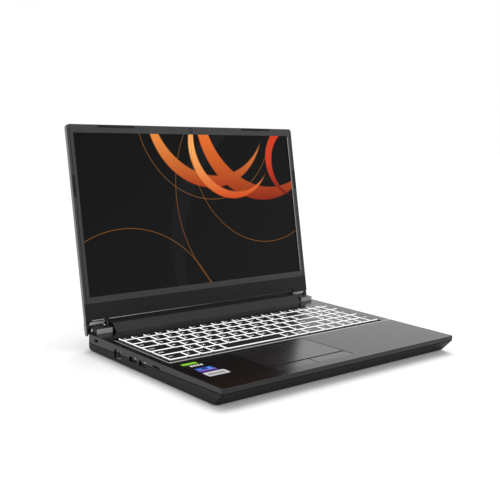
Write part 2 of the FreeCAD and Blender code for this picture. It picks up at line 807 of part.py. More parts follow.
# The hinge bar and the two blocks at the rear of the deck.
def make_hinge_covers():
    rear = f"({REAR} - bar_wall)"
    outer = [
        (BAR_TOE, DECK),
        (f"{BAR_TOE} + bar_rise", f"{DECK} + bar_rise"),
        (f"{BAR_TOE} + bar_rise + bar_top", f"{DECK} + bar_rise"),
        (rear, f"{DECK} + bar_wall"),
        (rear, DECK),
    ]
    inner_top = f"{DECK} + bar_rise - bar_wall"
    inner = [
        (f"{BAR_TOE} + {DIAGONAL} * bar_wall", DECK),
        (f"{BAR_TOE} + ({DIAGONAL} - 1) * bar_wall + bar_rise", inner_top),
        (f"{BAR_TOE} + bar_rise + bar_top - bar_wall / 2", inner_top),
        (f"{rear} - {DIAGONAL} * bar_wall", DECK),
    ]
    solid = side_prism("bar_solid", outer, (f"-{BAR_HALF}", BAR_HALF))
    ridge = number(f"{DECK} + bar_rise")
    eased = rounded(
        "bar_eased",
        solid,
        "edge_round",
        lambda edge: edge.BoundBox.ZMin > ridge - NEAR and edge.BoundBox.XLength > NEAR,
    )
    hollow = side_prism("bar_hollow", inner, (f"bar_wall - {BAR_HALF}", f"{BAR_HALF} - bar_wall"))
    node("hinge_bar", cut("hinge_bar", eased, [hollow]))

    def make_block(side, sign):
        top = number(f"{DECK} + block_rise")
        solid = plan_prism(f"block_{side}", block_plan(sign, "0"), (DECK, f"{DECK} + block_rise"))
        eased = rounded(
            f"block_eased_{side}", solid, "edge_round", lambda edge: edge.BoundBox.ZMin > top - NEAR
        )
        room_z = (f"{DECK} - {PAST}", f"{DECK} + block_rise - block_wall")
        room = plan_prism(f"block_room_{side}", block_plan(sign, "block_wall"), room_z)
        node(f"hinge_cover_{side}", cut(f"hinge_cover_{side}", eased, [room]))

    both_sides(make_block)


KNUCKLE_LENGTH = "(block_width - 2 * block_wall - pin_room)"
KNUCKLE_IN = f"({BLOCK_IN} + block_wall)"
KNUCKLE_OUT = f"({KNUCKLE_IN} + {KNUCKLE_LENGTH})"


def make_hinge_bracket(side, sign):
    x = span(sign, KNUCKLE_IN, KNUCKLE_OUT)
    at = (x[0], HINGE_Y, HINGE_Z)
    knuckle = rod(f"knuckle_{side}", "X", at, "knuckle_radius", KNUCKLE_LENGTH)
    foot_y = (f"{HINGE_Y} - bracket_length", HINGE_Y)
    foot = box(f"bracket_foot_{side}", x, foot_y, (f"{UNDER_DECK} - bracket_wall", UNDER_DECK))
    bore = rod(f"knuckle_bore_{side}", "X", at, "pin_radius + pin_clearance", KNUCKLE_LENGTH)
    solid = joined(f"bracket_solid_{side}", [knuckle, foot])
    node(f"hinge_bracket_{side}", cut(f"hinge_bracket_{side}", solid, [bore]))


# The keyboard: rows of tapered caps on posts that run in a metal plate under the deck.
# Each row lists its keys from the left as (group, width in key pitches).
ROWS = [
    [("modifier_keys", 1.4), ("modifier_keys", 0.95), ("modifier_keys", 0.95), ("modifier_keys", 1.05),
     ("space_bar", 5.15), ("modifier_keys", 1), ("modifier_keys", 1), ("modifier_keys", 1.5),
     ("arrow_keys", 1), ("arrow_keys", 1)],
    [("left_shift_key", 2.3)] + [("lower_letter_keys", 1)] * 10
    + [("lower_letter_keys", 1.7), ("arrow_keys", 1)],
    [("home_letter_keys", 1.75)] + [("home_letter_keys", 1)] * 11 + [("enter_key", 2.25)],
    [("upper_letter_keys", 1.45)] + [("upper_letter_keys", 1)] * 12 + [("upper_letter_keys", 1.55)],
    [("number_keys", 0.95)] + [("number_keys", 1)] * 12 + [("number_keys", 2.05)],
]
# The number pad's columns start where the main block ends; some of its caps are two rows tall.
NUMBER_PAD = [
    ("arrow_keys", 0, 0, 1), ("number_pad_keys", 1, 0, 1), ("number_pad_keys", 2, 0, 1),
    ("number_pad_keys", 3, 0, 2),
    ("number_pad_keys", 0, 1, 1), ("number_pad_keys", 1, 1, 1), ("number_pad_keys", 2, 1, 1),
    ("number_pad_keys", 0, 2, 1), ("number_pad_keys", 1, 2, 1), ("number_pad_keys", 2, 2, 1),
    ("number_pad_keys", 3, 2, 2),
    ("number_pad_keys", 0, 3, 1), ("number_pad_keys", 1, 3, 1), ("number_pad_keys", 2, 3, 1),
    ("number_pad_keys", 0, 4, 1), ("number_pad_keys", 1, 4, 1), ("number_pad_keys", 2, 4, 1),
    ("number_pad_keys", 3, 4, 1),
]
KEY_TOP = f"({DECK} + key_proud)"
KEY_BOTTOM = f"({UNDER_DECK} + key_travel + key_stop)"


def steps(start, first, last, pitch):
    """A stretch of one axis between two counts of a pitch."""
    return (f"{start} + {first:g} * {pitch}", f"{start} + {last:g} * {pitch}")


def key_places():
    """Every key as its group and the stretches of X and Y that its pitch takes up."""
    for row, keys in enumerate(ROWS):
        done = 0.0
        for group, width in keys:
            reach = round(done + width, 3)
            yield group, steps(KEY_LEFT, done, reach, KEY_PITCH), steps(KEY_FRONT, row, row + 1, "row_pitch")
            done = reach
    for group, column, row, rows in NUMBER_PAD:
        x = steps(PAD_LEFT, column, column + 1, "pad_pitch")
        yield group, x, steps(KEY_FRONT, row, row + rows, "row_pitch")
    for place in range(SMALL_KEYS):
        group = "power_key" if place == SMALL_KEYS - 1 else "function_keys"
        yield group, steps(KEY_LEFT, place, place + 1, SMALL_PITCH), (SMALL_FRONT, KEYS_REAR)


def key_cap(name, x, y):
    """A cap that narrows towards its top."""
    item = doc.addObject("Part::Wedge", name)
    item.Placement = Placement(Vector(), Rotation(Vector(1, 0, 0), 90))
    left, right = f"{x[0]} + key_gap / 2", f"{x[1]} - key_gap / 2"
    front, back = f"{y[0]} + key_gap / 2", f"{y[1]} - key_gap / 2"
    bind(item, Xmin=left, Xmax=right, X2min=f"{left} + key_taper", X2max=f"{right} - key_taper")
    bind(item, Zmin=f"-({back})", Zmax=f"-({front})")
    bind(item, Z2min=f"-({back} - key_taper)", Z2max=f"-({front} + key_taper)")
    bind(item, Ymin=KEY_BOTTOM, Ymax=KEY_TOP)
    return item


def make_keyboard():
    groups = {}
    ways = []
    for place, (group, x, y) in enumerate(key_places()):
        middle_x = f"(({x[0]}) + ({x[1]})) / 2"
        middle_y = f"(({y[0]}) + ({y[1]})) / 2"
        foot = f"{UNDER_DECK} - plate_wall - post_reach"
        post_x, post_y = around(middle_x, "key_post"), around(middle_y, "key_post")
        post = box(f"key_post_{place}", post_x, post_y, (foot, KEY_BOTTOM))
        way_x = around(middle_x, "key_post", "post_clearance")
        way_y = around(middle_y, "key_post", "post_clearance")
        way_z = (f"{UNDER_DECK} - 2 * plate_wall", f"{UNDER_DECK} + plate_wall")
        ways.append(box(f"key_way_{place}", way_x, way_y, way_z))
        key = joined(f"key_{place}", [key_cap(f"key_cap_{place}", x, y), post])
        groups.setdefault(group, []).append(key)
    plate = box(
        "plate_blank",
        (f"{KEY_OPENING_X[0]} - plate_lap", f"{KEY_OPENING_X[1]} + plate_lap"),
        (f"{KEY_OPENING_Y[0]} - plate_lap", f"{KEY_OPENING_Y[1]} + plate_lap"),
        (f"{UNDER_DECK} - plate_wall", UNDER_DECK),
    )
    pierced = doc.addObject("Part::Cut", "keyboard_plate")
    pierced.Base = plate
    pierced.Tool = together("key_ways", ways)
    node("keyboard_plate", pierced)
    for group, keys in groups.items():
        node(group, keys[0] if len(keys) == 1 else together(group, keys))


# The touch pad lies flush in the palm rest, with two buttons in front of it.
TOUCH_SPLIT = f"({TOUCH_Y[0]} + button_depth)"
TOUCH_TOP = f"({DECK} - touch_drop)"
BUTTON_BOTTOM = f"({TOUCH_TOP} - button_tall)"


def make_touch_pad():
    under = f"{UNDER_DECK} - plate_wall"
    bracket_x = (f"{TOUCH_X[0]} - plate_lap", f"{TOUCH_X[1]} + plate_lap")
    bracket_y = (f"{TOUCH_Y[0]} - plate_lap", f"{TOUCH_Y[1]} + plate_lap / 2")
    blank = box("touch_bracket_blank", bracket_x, bracket_y, (under, UNDER_DECK))
    pad_x = (f"{TOUCH_X[0]} + line_gap", f"{TOUCH_X[1]} - line_gap")
    pad_y = (f"{TOUCH_SPLIT} + line_gap / 2", f"{TOUCH_Y[1]} - line_gap")
    node("touchpad", rounded_slab("touchpad", pad_x, pad_y, (UNDER_DECK, TOUCH_TOP), "touch_round"))
    ways = []
    halves = {"left": (pad_x[0], "touch_x - line_gap / 2"), "right": ("touch_x + line_gap / 2", pad_x[1])}
    button_y = (f"{TOUCH_Y[0]} + line_gap", f"{TOUCH_SPLIT} - line_gap / 2")
    for side, x in halves.items():
        middle_x = f"(({x[0]}) + ({x[1]})) / 2"
        middle_y = f"(({button_y[0]}) + ({button_y[1]})) / 2"
        plate = rounded_slab(f"button_plate_{side}", x, button_y, (BUTTON_BOTTOM, TOUCH_TOP), "touch_round")
        foot = (f"{under} - post_reach", BUTTON_BOTTOM)
        post = box(f"button_post_{side}", around(middle_x, "key_post"), around(middle_y, "key_post"), foot)
        node(f"touchpad_{side}_button", joined(f"touchpad_{side}_button", [plate, post]))
        way_x = around(middle_x, "key_post", "post_clearance")
        way_y = around(middle_y, "key_post", "post_clearance")
        way_z = (f"{under} - plate_wall", f"{UNDER_DECK} + plate_wall")
        ways.append(box(f"button_way_{side}", way_x, way_y, way_z))
    node("touchpad_bracket", cut("touchpad_bracket", blank, ways))


# Inside the case: board, chips, cooling, storage, battery and sound.
BOARD_TOP = "(board_lift + board_wall)"
BOARD_SIDE = f"({SIDE} - board_inset)"
BOARD_FRONT = f"({REAR} - board_reach)"
CHIP_TOP = f"({BOARD_TOP} + chip_tall)"
FAN_LOW = f"({INSIDE_FLOOR} + fan_lift)"
FAN_HIGH = f"({FAN_LOW} + fan_tall)"
FAN_HALF = "(fan_radius + fan_rim)"
FIN_FRONT = f"({FAN_Y} + {FAN_HALF} + fin_gap)"
FIN_MIDDLE = f"({FIN_FRONT} + fin_depth / 2)"
FIN_HALF = f"({FINS // 2} * fin_pitch + pipe_overrun)"
PIPE_Z = f"({BOARD_TOP} + pipe_radius + pipe_lift)"
BOARD_MIDDLE = f"({FAN_X} - {FAN_HALF} - board_clear)"


def make_boards():
    shoulder = f"{FAN_Y} - {FAN_HALF} - shoulder_clear"
    rear, wing = f"{REAR} - board_back", f"({SIDE} - wing_inset)"
    right_end, left_end = f"{REAR} - right_wing_back", f"{REAR} - left_wing_back"
    plan = [
        (f"-{BOARD_SIDE}", BOARD_FRONT),
        (BOARD_SIDE, BOARD_FRONT),
        (BOARD_SIDE, right_end),
        (wing, right_end),
        (wing, shoulder),
        (BOARD_MIDDLE, shoulder),
        (BOARD_MIDDLE, rear),
        (f"-{BOARD_MIDDLE}", rear),
        (f"-{BOARD_MIDDLE}", shoulder),
        (f"-{wing}", shoulder),
        (f"-{wing}", left_end),
        (f"-{BOARD_SIDE}", left_end),
    ]
    blank = plan_prism("board_blank", plan, ("board_lift", BOARD_TOP))
    ways = []
    for place, (x, y) in enumerate(PILLARS):
        ways.append(rod(f"board_way_{place}", "Z", (x, y, "0"), "pillar_radius + pillar_play", UNDER_DECK))
    node("motherboard", cut("motherboard", blank, ways))

    def on_board(name, x, length, back, depth, tall):
        y = around(f"{REAR} - {back}", depth)
        return box(name, around(x, length), y, (BOARD_TOP, f"{BOARD_TOP} + {tall}"))

    for chip in ("processor", "graphics"):
        name = "processor" if chip == "processor" else "graphics_chip"
        size = (f"{chip}_x", f"{chip}_width", f"{chip}_back", f"{chip}_depth", "chip_tall")
        node(name, on_board(name, *size))
    drive_x = "memory_gap / 2 + memory_length + drive_gap + drive_length / 2"
    drive = ("drive_length", "drive_back", "drive_width", "drive_tall")
    node("solid_state_drive", on_board("solid_state_drive", drive_x, *drive))
    card_x = f"wireless_side - {SIDE}"
    card = ("wireless_length", "wireless_back", "wireless_width", "wireless_tall")
    node("wireless_card", on_board("wireless_card", card_x, *card))
    stick = ("memory_length", "memory_back", "memory_depth", "memory_tall")
    stick_x = "(memory_gap + memory_length) / 2"
    sticks = [on_board(f"memory_{side}", f"{sign} * {stick_x}", *stick) for side, sign in SIDES]
    node("memory_modules", together("memory_modules", sticks))
    make_battery()


def make_battery():
    battery_rear = f"({BOARD_FRONT} - battery_clear)"
    battery_x = (f"battery_side - {SIDE}", f"{SIDE} - battery_side")
    battery_y = (f"{FRONT} + skirt_front + case_wall + battery_gap", battery_rear)
    battery_z = (INSIDE_FLOOR, f"{INSIDE_FLOOR} + battery_tall")
    node("battery", rounded_slab("battery", battery_x, battery_y, battery_z, "pack_round"))
    speakers = []
    top = f"{INSIDE_FLOOR} + speaker_tall"
    y = (f"{FRONT} + speaker_front", f"{battery_rear} - speaker_clear")
    for side, sign in SIDES:
        middle_x = f"{sign} * ({SIDE} - speaker_side - speaker_width / 2)"
        middle_y = f"(({y[0]}) + ({y[1]})) / 2"
        x = around(middle_x, "speaker_width")
        shell = rounded_slab(f"speaker_box_{side}", x, y, (INSIDE_FLOOR, top), "pack_round")
        cone = rod(f"speaker_cone_{side}", "Z", (middle_x, middle_y, top), "cone_radius", "cone_tall")
        speakers.append(joined(f"speaker_{side}", [shell, cone]))
    node("speakers", together("speakers", speakers))


def make_heat_pipes():
    plate_x = (
        "processor_x - processor_width / 2 - cold_margin",
        "graphics_x + graphics_width / 2 + cold_margin",
    )
    plate_y = around(f"{REAR} - graphics_back", "graphics_depth", "cold_margin")
    runs = [box("cold_plate", plate_x, plate_y, (CHIP_TOP, PIPE_Z))]
    turn = f"({BOARD_MIDDLE} - pipe_radius)"
    start = f"({REAR} - pipe_back)"
    for side, sign in SIDES:
        x = f"{sign} * {turn}"
        along = f"{FIN_MIDDLE} - {start}"
        runs.append(rod(f"pipe_along_{side}", "Y", (x, start, PIPE_Z), "pipe_radius", along))
        across_x = span(sign, turn, f"{FAN_X} + {FIN_HALF}")
        across = f"{FAN_X} + {FIN_HALF} - {turn}"
        runs.append(rod(f"pipe_across_{side}", "X", (across_x[0], FIN_MIDDLE, PIPE_Z), "pipe_radius", across))
        bend = doc.addObject("Part::Sphere", f"pipe_bend_{side}")
        bind(bend, Radius="pipe_radius")
        move_to(bend, x, FIN_MIDDLE, PIPE_Z)
        runs.append(bend)
        bridge_y = (start, f"{start} + bridge_depth")
        runs.append(box(f"pipe_bridge_{side}", span(sign, "bridge_from", turn), bridge_y, (CHIP_TOP, PIPE_Z)))
    node("heat_pipes", joined("heat_pipes", runs))


def make_fan_housing(side, centre):
    size = f"2 * {FAN_HALF}"
    body_x, body_y = around(centre[0], size), around(centre[1], size)
    body = rounded_slab(f"fan_body_{side}", body_x, body_y, (FAN_LOW, FAN_HIGH), "fan_round")
    low, high = f"{FAN_LOW} + fan_wall", f"{FAN_HIGH} - fan_wall"
    room_tall = "fan_tall - 2 * fan_wall"
    room = rod(f"fan_room_{side}", "Z", (*centre, low), "fan_radius + fan_tip_gap", room_tall)
    inlet = rod(f"fan_inlet_{side}", "Z", (*centre, f"{high} - fan_wall"), "fan_inlet", "4 * fan_wall")
    outlet_y = (FAN_Y, f"{FAN_Y} + {FAN_HALF} + {PAST}")
    outlet = box(f"fan_outlet_{side}", around(centre[0], "fan_outlet"), outlet_y, (low, high))
    post = rod(f"fan_post_{side}", "Z", (*centre, FAN_LOW), "fan_shaft", "fan_tall - fan_wall - rotor_gap")
    shell = cut(f"fan_shell_{side}", body, [room, inlet, outlet])
    node(f"fan_housing_{side}", joined(f"fan_housing_{side}", [shell, post]))


def make_fan_rotor(side, centre):
    low = f"{FAN_LOW} + fan_wall + rotor_gap"
    tall = "fan_tall - 2 * (fan_wall + rotor_gap)"
    root = "(hub_radius - blade_root)"
    blades = [rod(f"fan_hub_{side}", "Z", (*centre, low), "hub_radius", tall)]
    for place in range(BLADES):
        blade = doc.addObject("Part::Box", f"blade_{side}_{place}")
        bind(blade, Length=f"fan_radius - {root}", Width="blade_wall", Height=tall)
        turn = 360.0 * place / BLADES
        blade.Placement = Placement(Vector(), Rotation(Vector(0, 0, 1), turn))
        x = f"{centre[0]} + {root} * cos({turn:g}) + blade_wall / 2 * sin({turn:g})"
        y = f"{centre[1]} + {root} * sin({turn:g}) - blade_wall / 2 * cos({turn:g})"
        move_to(blade, x, y, low)
        blades.append(blade)
    wheel = joined(f"fan_wheel_{side}", blades)
    bore = rod(f"fan_bore_{side}", "Z", (*centre, FAN_LOW), "fan_shaft + pin_clearance", "fan_tall")
    node(f"fan_rotor_{side}", cut(f"fan_rotor_{side}", wheel, [bore]))


def make_cooling(side, sign):
    centre = (f"{sign} * {FAN_X}", FAN_Y)
    make_fan_housing(side, centre)
    make_fan_rotor(side, centre)
    fins = []
    fin_y = (FIN_FRONT, f"{FIN_FRONT} + fin_depth")
    for place in range(FINS):
        x = around(f"{centre[0]} + {place - FINS // 2} * fin_pitch", "fin_wall")
        fins.append(box(f"fin_{side}_{place}", x, fin_y, (FAN_LOW, FAN_HIGH)))
    stack = together(f"fin_plates_{side}", fins)
    way_at = (f"{centre[0]} - {FIN_HALF}", FIN_MIDDLE, PIPE_Z)
    way = rod(f"fin_way_{side}", "X", way_at, "pipe_radius", f"2 * {FIN_HALF}")
    node(f"fin_stack_{side}", cut(f"fin_stack_{side}", stack, [way]))


# Sockets along the sides and the rear.
SOCKET_FRONT = f"({SIDE} - socket_set)"
SOCKET_BACK = BOARD_SIDE
SOCKET_ROOM = f"{SOCKET_BACK} + socket_wall"


def usb_socket(name, sign, y):
    """A metal sleeve with a tongue, closed at the back."""
    x = span(sign, SOCKET_BACK, SOCKET_FRONT)
    sleeve = box(name + "_sleeve", x, around(y, "usb_width"), around("usb_z", "usb_tall"))
    mouth_x = span(sign, SOCKET_ROOM, f"{SOCKET_FRONT} + {PAST}")
    mouth_z = around("usb_z", "usb_tall", "-usb_wall")
    mouth = box(name + "_mouth", mouth_x, around(y, "usb_width", "-usb_wall"), mouth_z)
    tongue_x = span(sign, SOCKET_BACK, f"{SOCKET_FRONT} - tongue_set")
    tongue_z = ("usb_z + tongue_lift", "usb_z + tongue_lift + tongue_wall")
    tongue = box(name + "_tongue", tongue_x, around(y, "usb_width", "-tongue_inset"), tongue_z)
    return joined(name, [cut(name + "_shell", sleeve, [mouth]), tongue])


def make_network_socket():
    shell_x = span(-1, SOCKET_BACK, SOCKET_FRONT)
    shell = box("net_shell", shell_x, around(NET_Y, "net_width"), around("net_z", "net_tall"))
    mouth_x = span(-1, f"{SOCKET_BACK} + net_wall", f"{SOCKET_FRONT} + {PAST}")
    low = "net_z - net_tall / 2 + net_floor"
    high = f"{low} + net_mouth_tall"
    mouth = box("net_mouth", mouth_x, around(NET_Y, "net_mouth_width"), (low, high))
    catch = box("net_catch", mouth_x, around(NET_Y, "net_catch_width"), (low, f"{high} + net_catch_tall"))
    node("ethernet_socket", cut("ethernet_socket", shell, [mouth, catch]))


def make_side_sockets():
    pair = [usb_socket("usb_rear_left", -1, USB_REAR_Y), usb_socket("usb_front_left", -1, USB_FRONT_Y)]
    node("usb_sockets_left", together("usb_sockets_left", pair))
    node("usb_socket_right", usb_socket("usb_socket_right", 1, USB_REAR_Y))
    card_x = span(-1, SOCKET_BACK, SOCKET_FRONT)
    card = box("card_shell", card_x, around(CARD_Y, "card_width"), around("card_z", "card_tall"))
    mouth_x = span(-1, SOCKET_ROOM, f"{SOCKET_FRONT} + {PAST}")
    mouth_z = around("card_z", "card_tall", "-card_wall")
    mouth = box("card_mouth", mouth_x, around(CARD_Y, "card_width", "-card_wall"), mouth_z)
    node("card_slot", cut("card_slot", card, [mouth]))
    jacks = []
    length = f"{SOCKET_FRONT} - {SOCKET_BACK}"
    for place in range(JACKS):
        middle = (f"{JACK_Y} - {place} * jack_pitch", "jack_z")
        body = rod(f"jack_body_{place}", "X", (SOCKET_BACK, *middle), "jack_body", length)
        bore = rod(f"jack_bore_{place}", "X", (SOCKET_ROOM, *middle), "jack_radius", length)
        jacks.append(cut(f"jack_{place}", body, [bore]))
    node("audio_jacks", together("audio_jacks", jacks))


def make_rear_sockets():
    front = f"({REAR} - socket_set - rear_port_depth)"
    back = f"({REAR} - socket_set)"
    room = f"{front} + rear_port_end"
    ports = []
    for port in REAR_PORTS:
        x, width, tall = f"{port}_x", f"{port}_width", f"{port}_tall"
        body = box(f"{port}_body", around(x, width), (front, back), around("rear_port_z", tall))
        mouth_x, mouth_z = around(x, width, "-rear_port_wall"), around("rear_port_z", tall, "-rear_port_wall")
        mouth = box(f"{port}_mouth", mouth_x, (room, f"{back} + {PAST}"), mouth_z)
        tongue_y = (front, f"{back} - rear_port_end")
        tongue_z = around("rear_port_z", "rear_tongue_wall")
        tongue = box(f"{port}_tongue", around(x, f"{width} / 2"), tongue_y, tongue_z)
        ports.append(joined(f"{port}_socket", [cut(f"{port}_shell", body, [mouth]), tongue]))
    node("rear_sockets", together("rear_sockets", ports))


# The lid, drawn closed: its face looks down at the deck, its top edge lies near the case's front.
LID_LOW = f"({DECK} + lid_gap)"
LID_HIGH = f"({LID_LOW} + lid_thick)"
LID_SIDE = f"({SIDE} - lid_inset)"
LID_TOP_EDGE = f"({FRONT} + lid_front_gap)"
BEZEL_BACK = f"({LID_LOW} + bezel_wall)"
CHIN = f"({HINGE_Y} - chin_back)"
LIP = f"({HINGE_Y} - lip_back)"
BEVEL_RUN = "((chin_back - lip_back) / lid_thick)"
WINDOW_FRONT = f"({LID_TOP_EDGE} + window_top)"
STRIP_REAR = f"({CHIN} - chin_depth)"
WINDOW_REAR = f"({STRIP_REAR} - strip_depth)"
WINDOW_SIDE = f"({LID_SIDE} - bezel_side)"
LID_INSIDE = f"({LID_HIGH} - lid_wall)"
ARM_IN = f"({BAR_HALF} + arm_gap)"
ARM_OUT = f"({ARM_IN} + arm_wall)"
LENS_Y = f"({LID_TOP_EDGE} + lens_drop)"


def bevel_y(z):
    """Place of the lid's slanted lower edge at a height."""
    return f"({CHIN} + (({z}) - {LID_LOW}) * {BEVEL_RUN})"


def arm_slots(name, reach):
    """Openings in the slanted edge for the two hinge arms."""
    spare = "(arm_gap / 2)"
    slots = []
    for side, sign in SIDES:
        x = span(sign, f"{ARM_IN} - {spare}", f"{ARM_OUT} + {spare}")
        y = (f"{CHIN} - {reach}", f"{LIP} + {PAST}")
        slots.append(box(f"{name}_{side}", x, y, (f"{LID_LOW} - {PAST}", LID_INSIDE)))
    return slots


def lid_web(side, sign):
    """A thin web beside an ear that hides the hinge block from behind and clears the case's cut corner."""
    outer, corner = f"({LID_SIDE} - ear_width / 2)", f"({LID_SIDE} - web_flat)"
    root, middle = f"{LIP} - ear_lap", f"{HINGE_Y} - web_back"
    places = [
        (outer, root),
        (outer, HINGE_Y),
        (corner, HINGE_Y),
        (f"({corner} - web_run)", middle),
        (BLOCK_IN, middle),
        (BLOCK_IN, root),
    ]
    plan = [(f"{sign} * {x}", y) for x, y in places]
    return plan_prism(f"lid_web_{side}", plan, (f"{LID_HIGH} - web_wall", LID_HIGH))


def make_lid_back():
    profile = [
        (LID_TOP_EDGE, BEZEL_BACK),
        (LID_TOP_EDGE, LID_HIGH),
        (LIP, LID_HIGH),
        (bevel_y(BEZEL_BACK), BEZEL_BACK),
    ]
    blank = side_prism("lid_blank", profile, (f"-{LID_SIDE}", LID_SIDE))
    plan_y = (LID_TOP_EDGE, f"{LIP} + lid_round + {PAST}")
    plan = rounded_slab("lid_plan", (f"-{LID_SIDE}", LID_SIDE), plan_y, (LID_LOW, LID_HIGH), "lid_round")
    slab = shared("lid_slab", blank, plan)
    high, lip = number(LID_HIGH), number(LIP)
    eased = rounded(
        "lid_eased",
        slab,
        "lid_edge_round",
        lambda edge: edge.BoundBox.ZMin > high - NEAR and edge.BoundBox.YMin < lip - NEAR,
    )
    slant = f"{DIAGONAL} * lid_wall"
    hollow = side_prism(
        "lid_hollow",
        [
            (f"{LID_TOP_EDGE} + lid_wall", LID_LOW),
            (f"{LID_TOP_EDGE} + lid_wall", LID_INSIDE),
            (f"{bevel_y(LID_INSIDE)} - {slant}", LID_INSIDE),
            (f"{CHIN} - {slant}", LID_LOW),
        ],
        (f"lid_wall - {LID_SIDE}", f"{LID_SIDE} - lid_wall"),
    )
    shell = cut("lid_shell", eased, [hollow] + arm_slots("lid_arm_slot", "slot_reach"))
    ears = []
    for side, sign in SIDES:
        x = span(sign, f"{LID_SIDE} - ear_width", LID_SIDE)
        reach = f"({HINGE_Y} + ear_reach)"
        points = [
            (f"{bevel_y(BEZEL_BACK)} + ear_gap", BEZEL_BACK),
            (f"{reach} - ear_front_cut", BEZEL_BACK),
            (reach, f"{BEZEL_BACK} + ear_front_cut"),
            (reach, f"{LID_HIGH} - ear_back_cut"),
            (f"{reach} - ear_back_cut", LID_HIGH),
            (f"{LIP} - ear_lap", LID_HIGH),
            (f"{LIP} - ear_lap", LID_INSIDE),
        ]
        ears.append(side_prism(f"lid_ear_{side}", points, x))
        ears.append(lid_web(side, sign))
    lid_node("lid_back_cover", joined("lid_back_cover", [shell] + ears))


def make_lid_front():
    through = (f"{LID_LOW} - {PAST}", f"{BEZEL_BACK} + {PAST}")
    window = box("window", (f"-{WINDOW_SIDE}", WINDOW_SIDE), (WINDOW_FRONT, WINDOW_REAR), through)
    lens_at = ("0", LENS_Y, through[0])
    lens_way = rod("lens_way", "Z", lens_at, "lens_radius + lens_play", f"bezel_wall + 2 * {PAST}")
    plate_y = (LID_TOP_EDGE, f"{STRIP_REAR} + lid_round + {PAST}")
    plate_x = (f"-{LID_SIDE}", LID_SIDE)
    plate = rounded_slab("bezel_plate", plate_x, plate_y, (LID_LOW, BEZEL_BACK), "lid_round")
    beyond_x = (f"-{LID_SIDE} - {PAST}", f"{LID_SIDE} + {PAST}")
    beyond = box("bezel_beyond", beyond_x, (STRIP_REAR, f"{plate_y[1]} + {PAST}"), through)
    lid_node("display_bezel", cut("display_bezel", plate, [window, lens_way, beyond]))
    chin = side_prism(
        "chin_plate",
        [(STRIP_REAR, LID_LOW), (CHIN, LID_LOW), (bevel_y(BEZEL_BACK), BEZEL_BACK), (STRIP_REAR, BEZEL_BACK)],
        (f"-{LID_SIDE}", LID_SIDE),
    )
    lid_node("lid_chin", cut("lid_chin", chin, arm_slots("chin_arm_slot", "chin_slot")))
    panel_x = (f"-({WINDOW_SIDE} + panel_lap)", f"{WINDOW_SIDE} + panel_lap")
    panel_y = (f"{WINDOW_FRONT} - panel_lap", f"{WINDOW_REAR} + panel_lap")
    panel_z = (BEZEL_BACK, f"{BEZEL_BACK} + panel_wall")
    lid_node("display_panel", rounded_slab("display_panel", panel_x, panel_y, panel_z, "panel_round"))
    board_y = (f"{LID_TOP_EDGE} + lid_wall + camera_gap", f"{panel_y[0]} - camera_gap")
    board_z = (BEZEL_BACK, f"{BEZEL_BACK} + camera_tall")
    board = box("camera_board", around("0", "camera_length"), board_y, board_z)
    lens = rod("camera_lens", "Z", ("0", LENS_Y, f"{LID_LOW} + lens_set"), "lens_radius", "bezel_wall")
    lid_node("camera_module", joined("camera_module", [board, lens]))


def make_lid_bumpers():
    """Rubber strips that keep the closed lid off the deck."""
    z = (f"{LID_LOW} - bumper_tall", LID_LOW)
    bend = f"bumper_width * {ROUND_END}"
    strips = []
    for side, sign in SIDES:
        outer = f"({LID_SIDE} - bumper_side)"
        top_y = around(f"{LID_TOP_EDGE} + bumper_edge", "bumper_width")
        top_x = span(sign, f"{outer} - bumper_length", outer)
        strips.append(rounded_slab(f"bumper_top_{side}", top_x, top_y, z, bend))
        side_x = around(f"{sign} * ({LID_SIDE} - bumper_inset)", "bumper_width")
        side_y = (f"{LID_TOP_EDGE} + bumper_drop", f"{LID_TOP_EDGE} + bumper_drop + side_bumper_length")
        strips.append(rounded_slab(f"bumper_side_{side}", side_x, side_y, z, bend))
    lid_node("lid_bumpers", together("lid_bumpers", strips))


def make_lid_hinge(side, sign):
    foot = f"{CHIN} - arm_lap"
    low = f"{BEZEL_BACK} + arm_play"
    lever_points = [
        (HINGE_Y, f"{HINGE_Z} + arm_round"),
        (CHIN, LID_INSIDE),
        (foot, LID_INSIDE),
        (foot, low),
        (CHIN, low),
        (f"{HINGE_Y} - arm_round", HINGE_Z),
        (HINGE_Y, HINGE_Z),
    ]
    arm_x = span(sign, ARM_IN, ARM_OUT)
    arm_at = (arm_x[0], HINGE_Y, HINGE_Z)
    lever = side_prism(f"lever_{side}", lever_points, arm_x)
    disc = rod(f"arm_disc_{side}", "X", arm_at, "arm_round", "arm_wall")
    flange_x = span(sign, ARM_IN, f"{ARM_IN} + block_width")
    flange_y = (f"{STRIP_REAR} - flange_lap", f"{CHIN} - flange_gap")
    flange = box(f"arm_flange_{side}", flange_x, flange_y, (f"{LID_INSIDE} - flange_wall", LID_INSIDE))
    solid = joined(f"arm_solid_{side}", [lever, disc, flange])
    pin_way = rod(f"arm_bore_{side}", "X", arm_at, "pin_radius", "arm_wall")
    lid_node(f"hinge_arm_{side}", cut(f"hinge_arm_{side}", solid, [pin_way]))
    shank_end = f"{KNUCKLE_OUT} + pin_end_gap"
    shank_x = span(sign, ARM_IN, shank_end)
    length = f"{shank_end} - {ARM_IN}"
    shank = rod(f"pin_shank_{side}", "X", (shank_x[0], HINGE_Y, HINGE_Z), "pin_radius", length)
    head_x = span(sign, shank_end, f"{shank_end} + pin_head_tall")
    head = rod(f"pin_end_{side}", "X", (head_x[0], HINGE_Y, HINGE_Z), "pin_head", "pin_head_tall")
    lid_node(f"hinge_pin_{side}", joined(f"hinge_pin_{side}", [shank, head]))


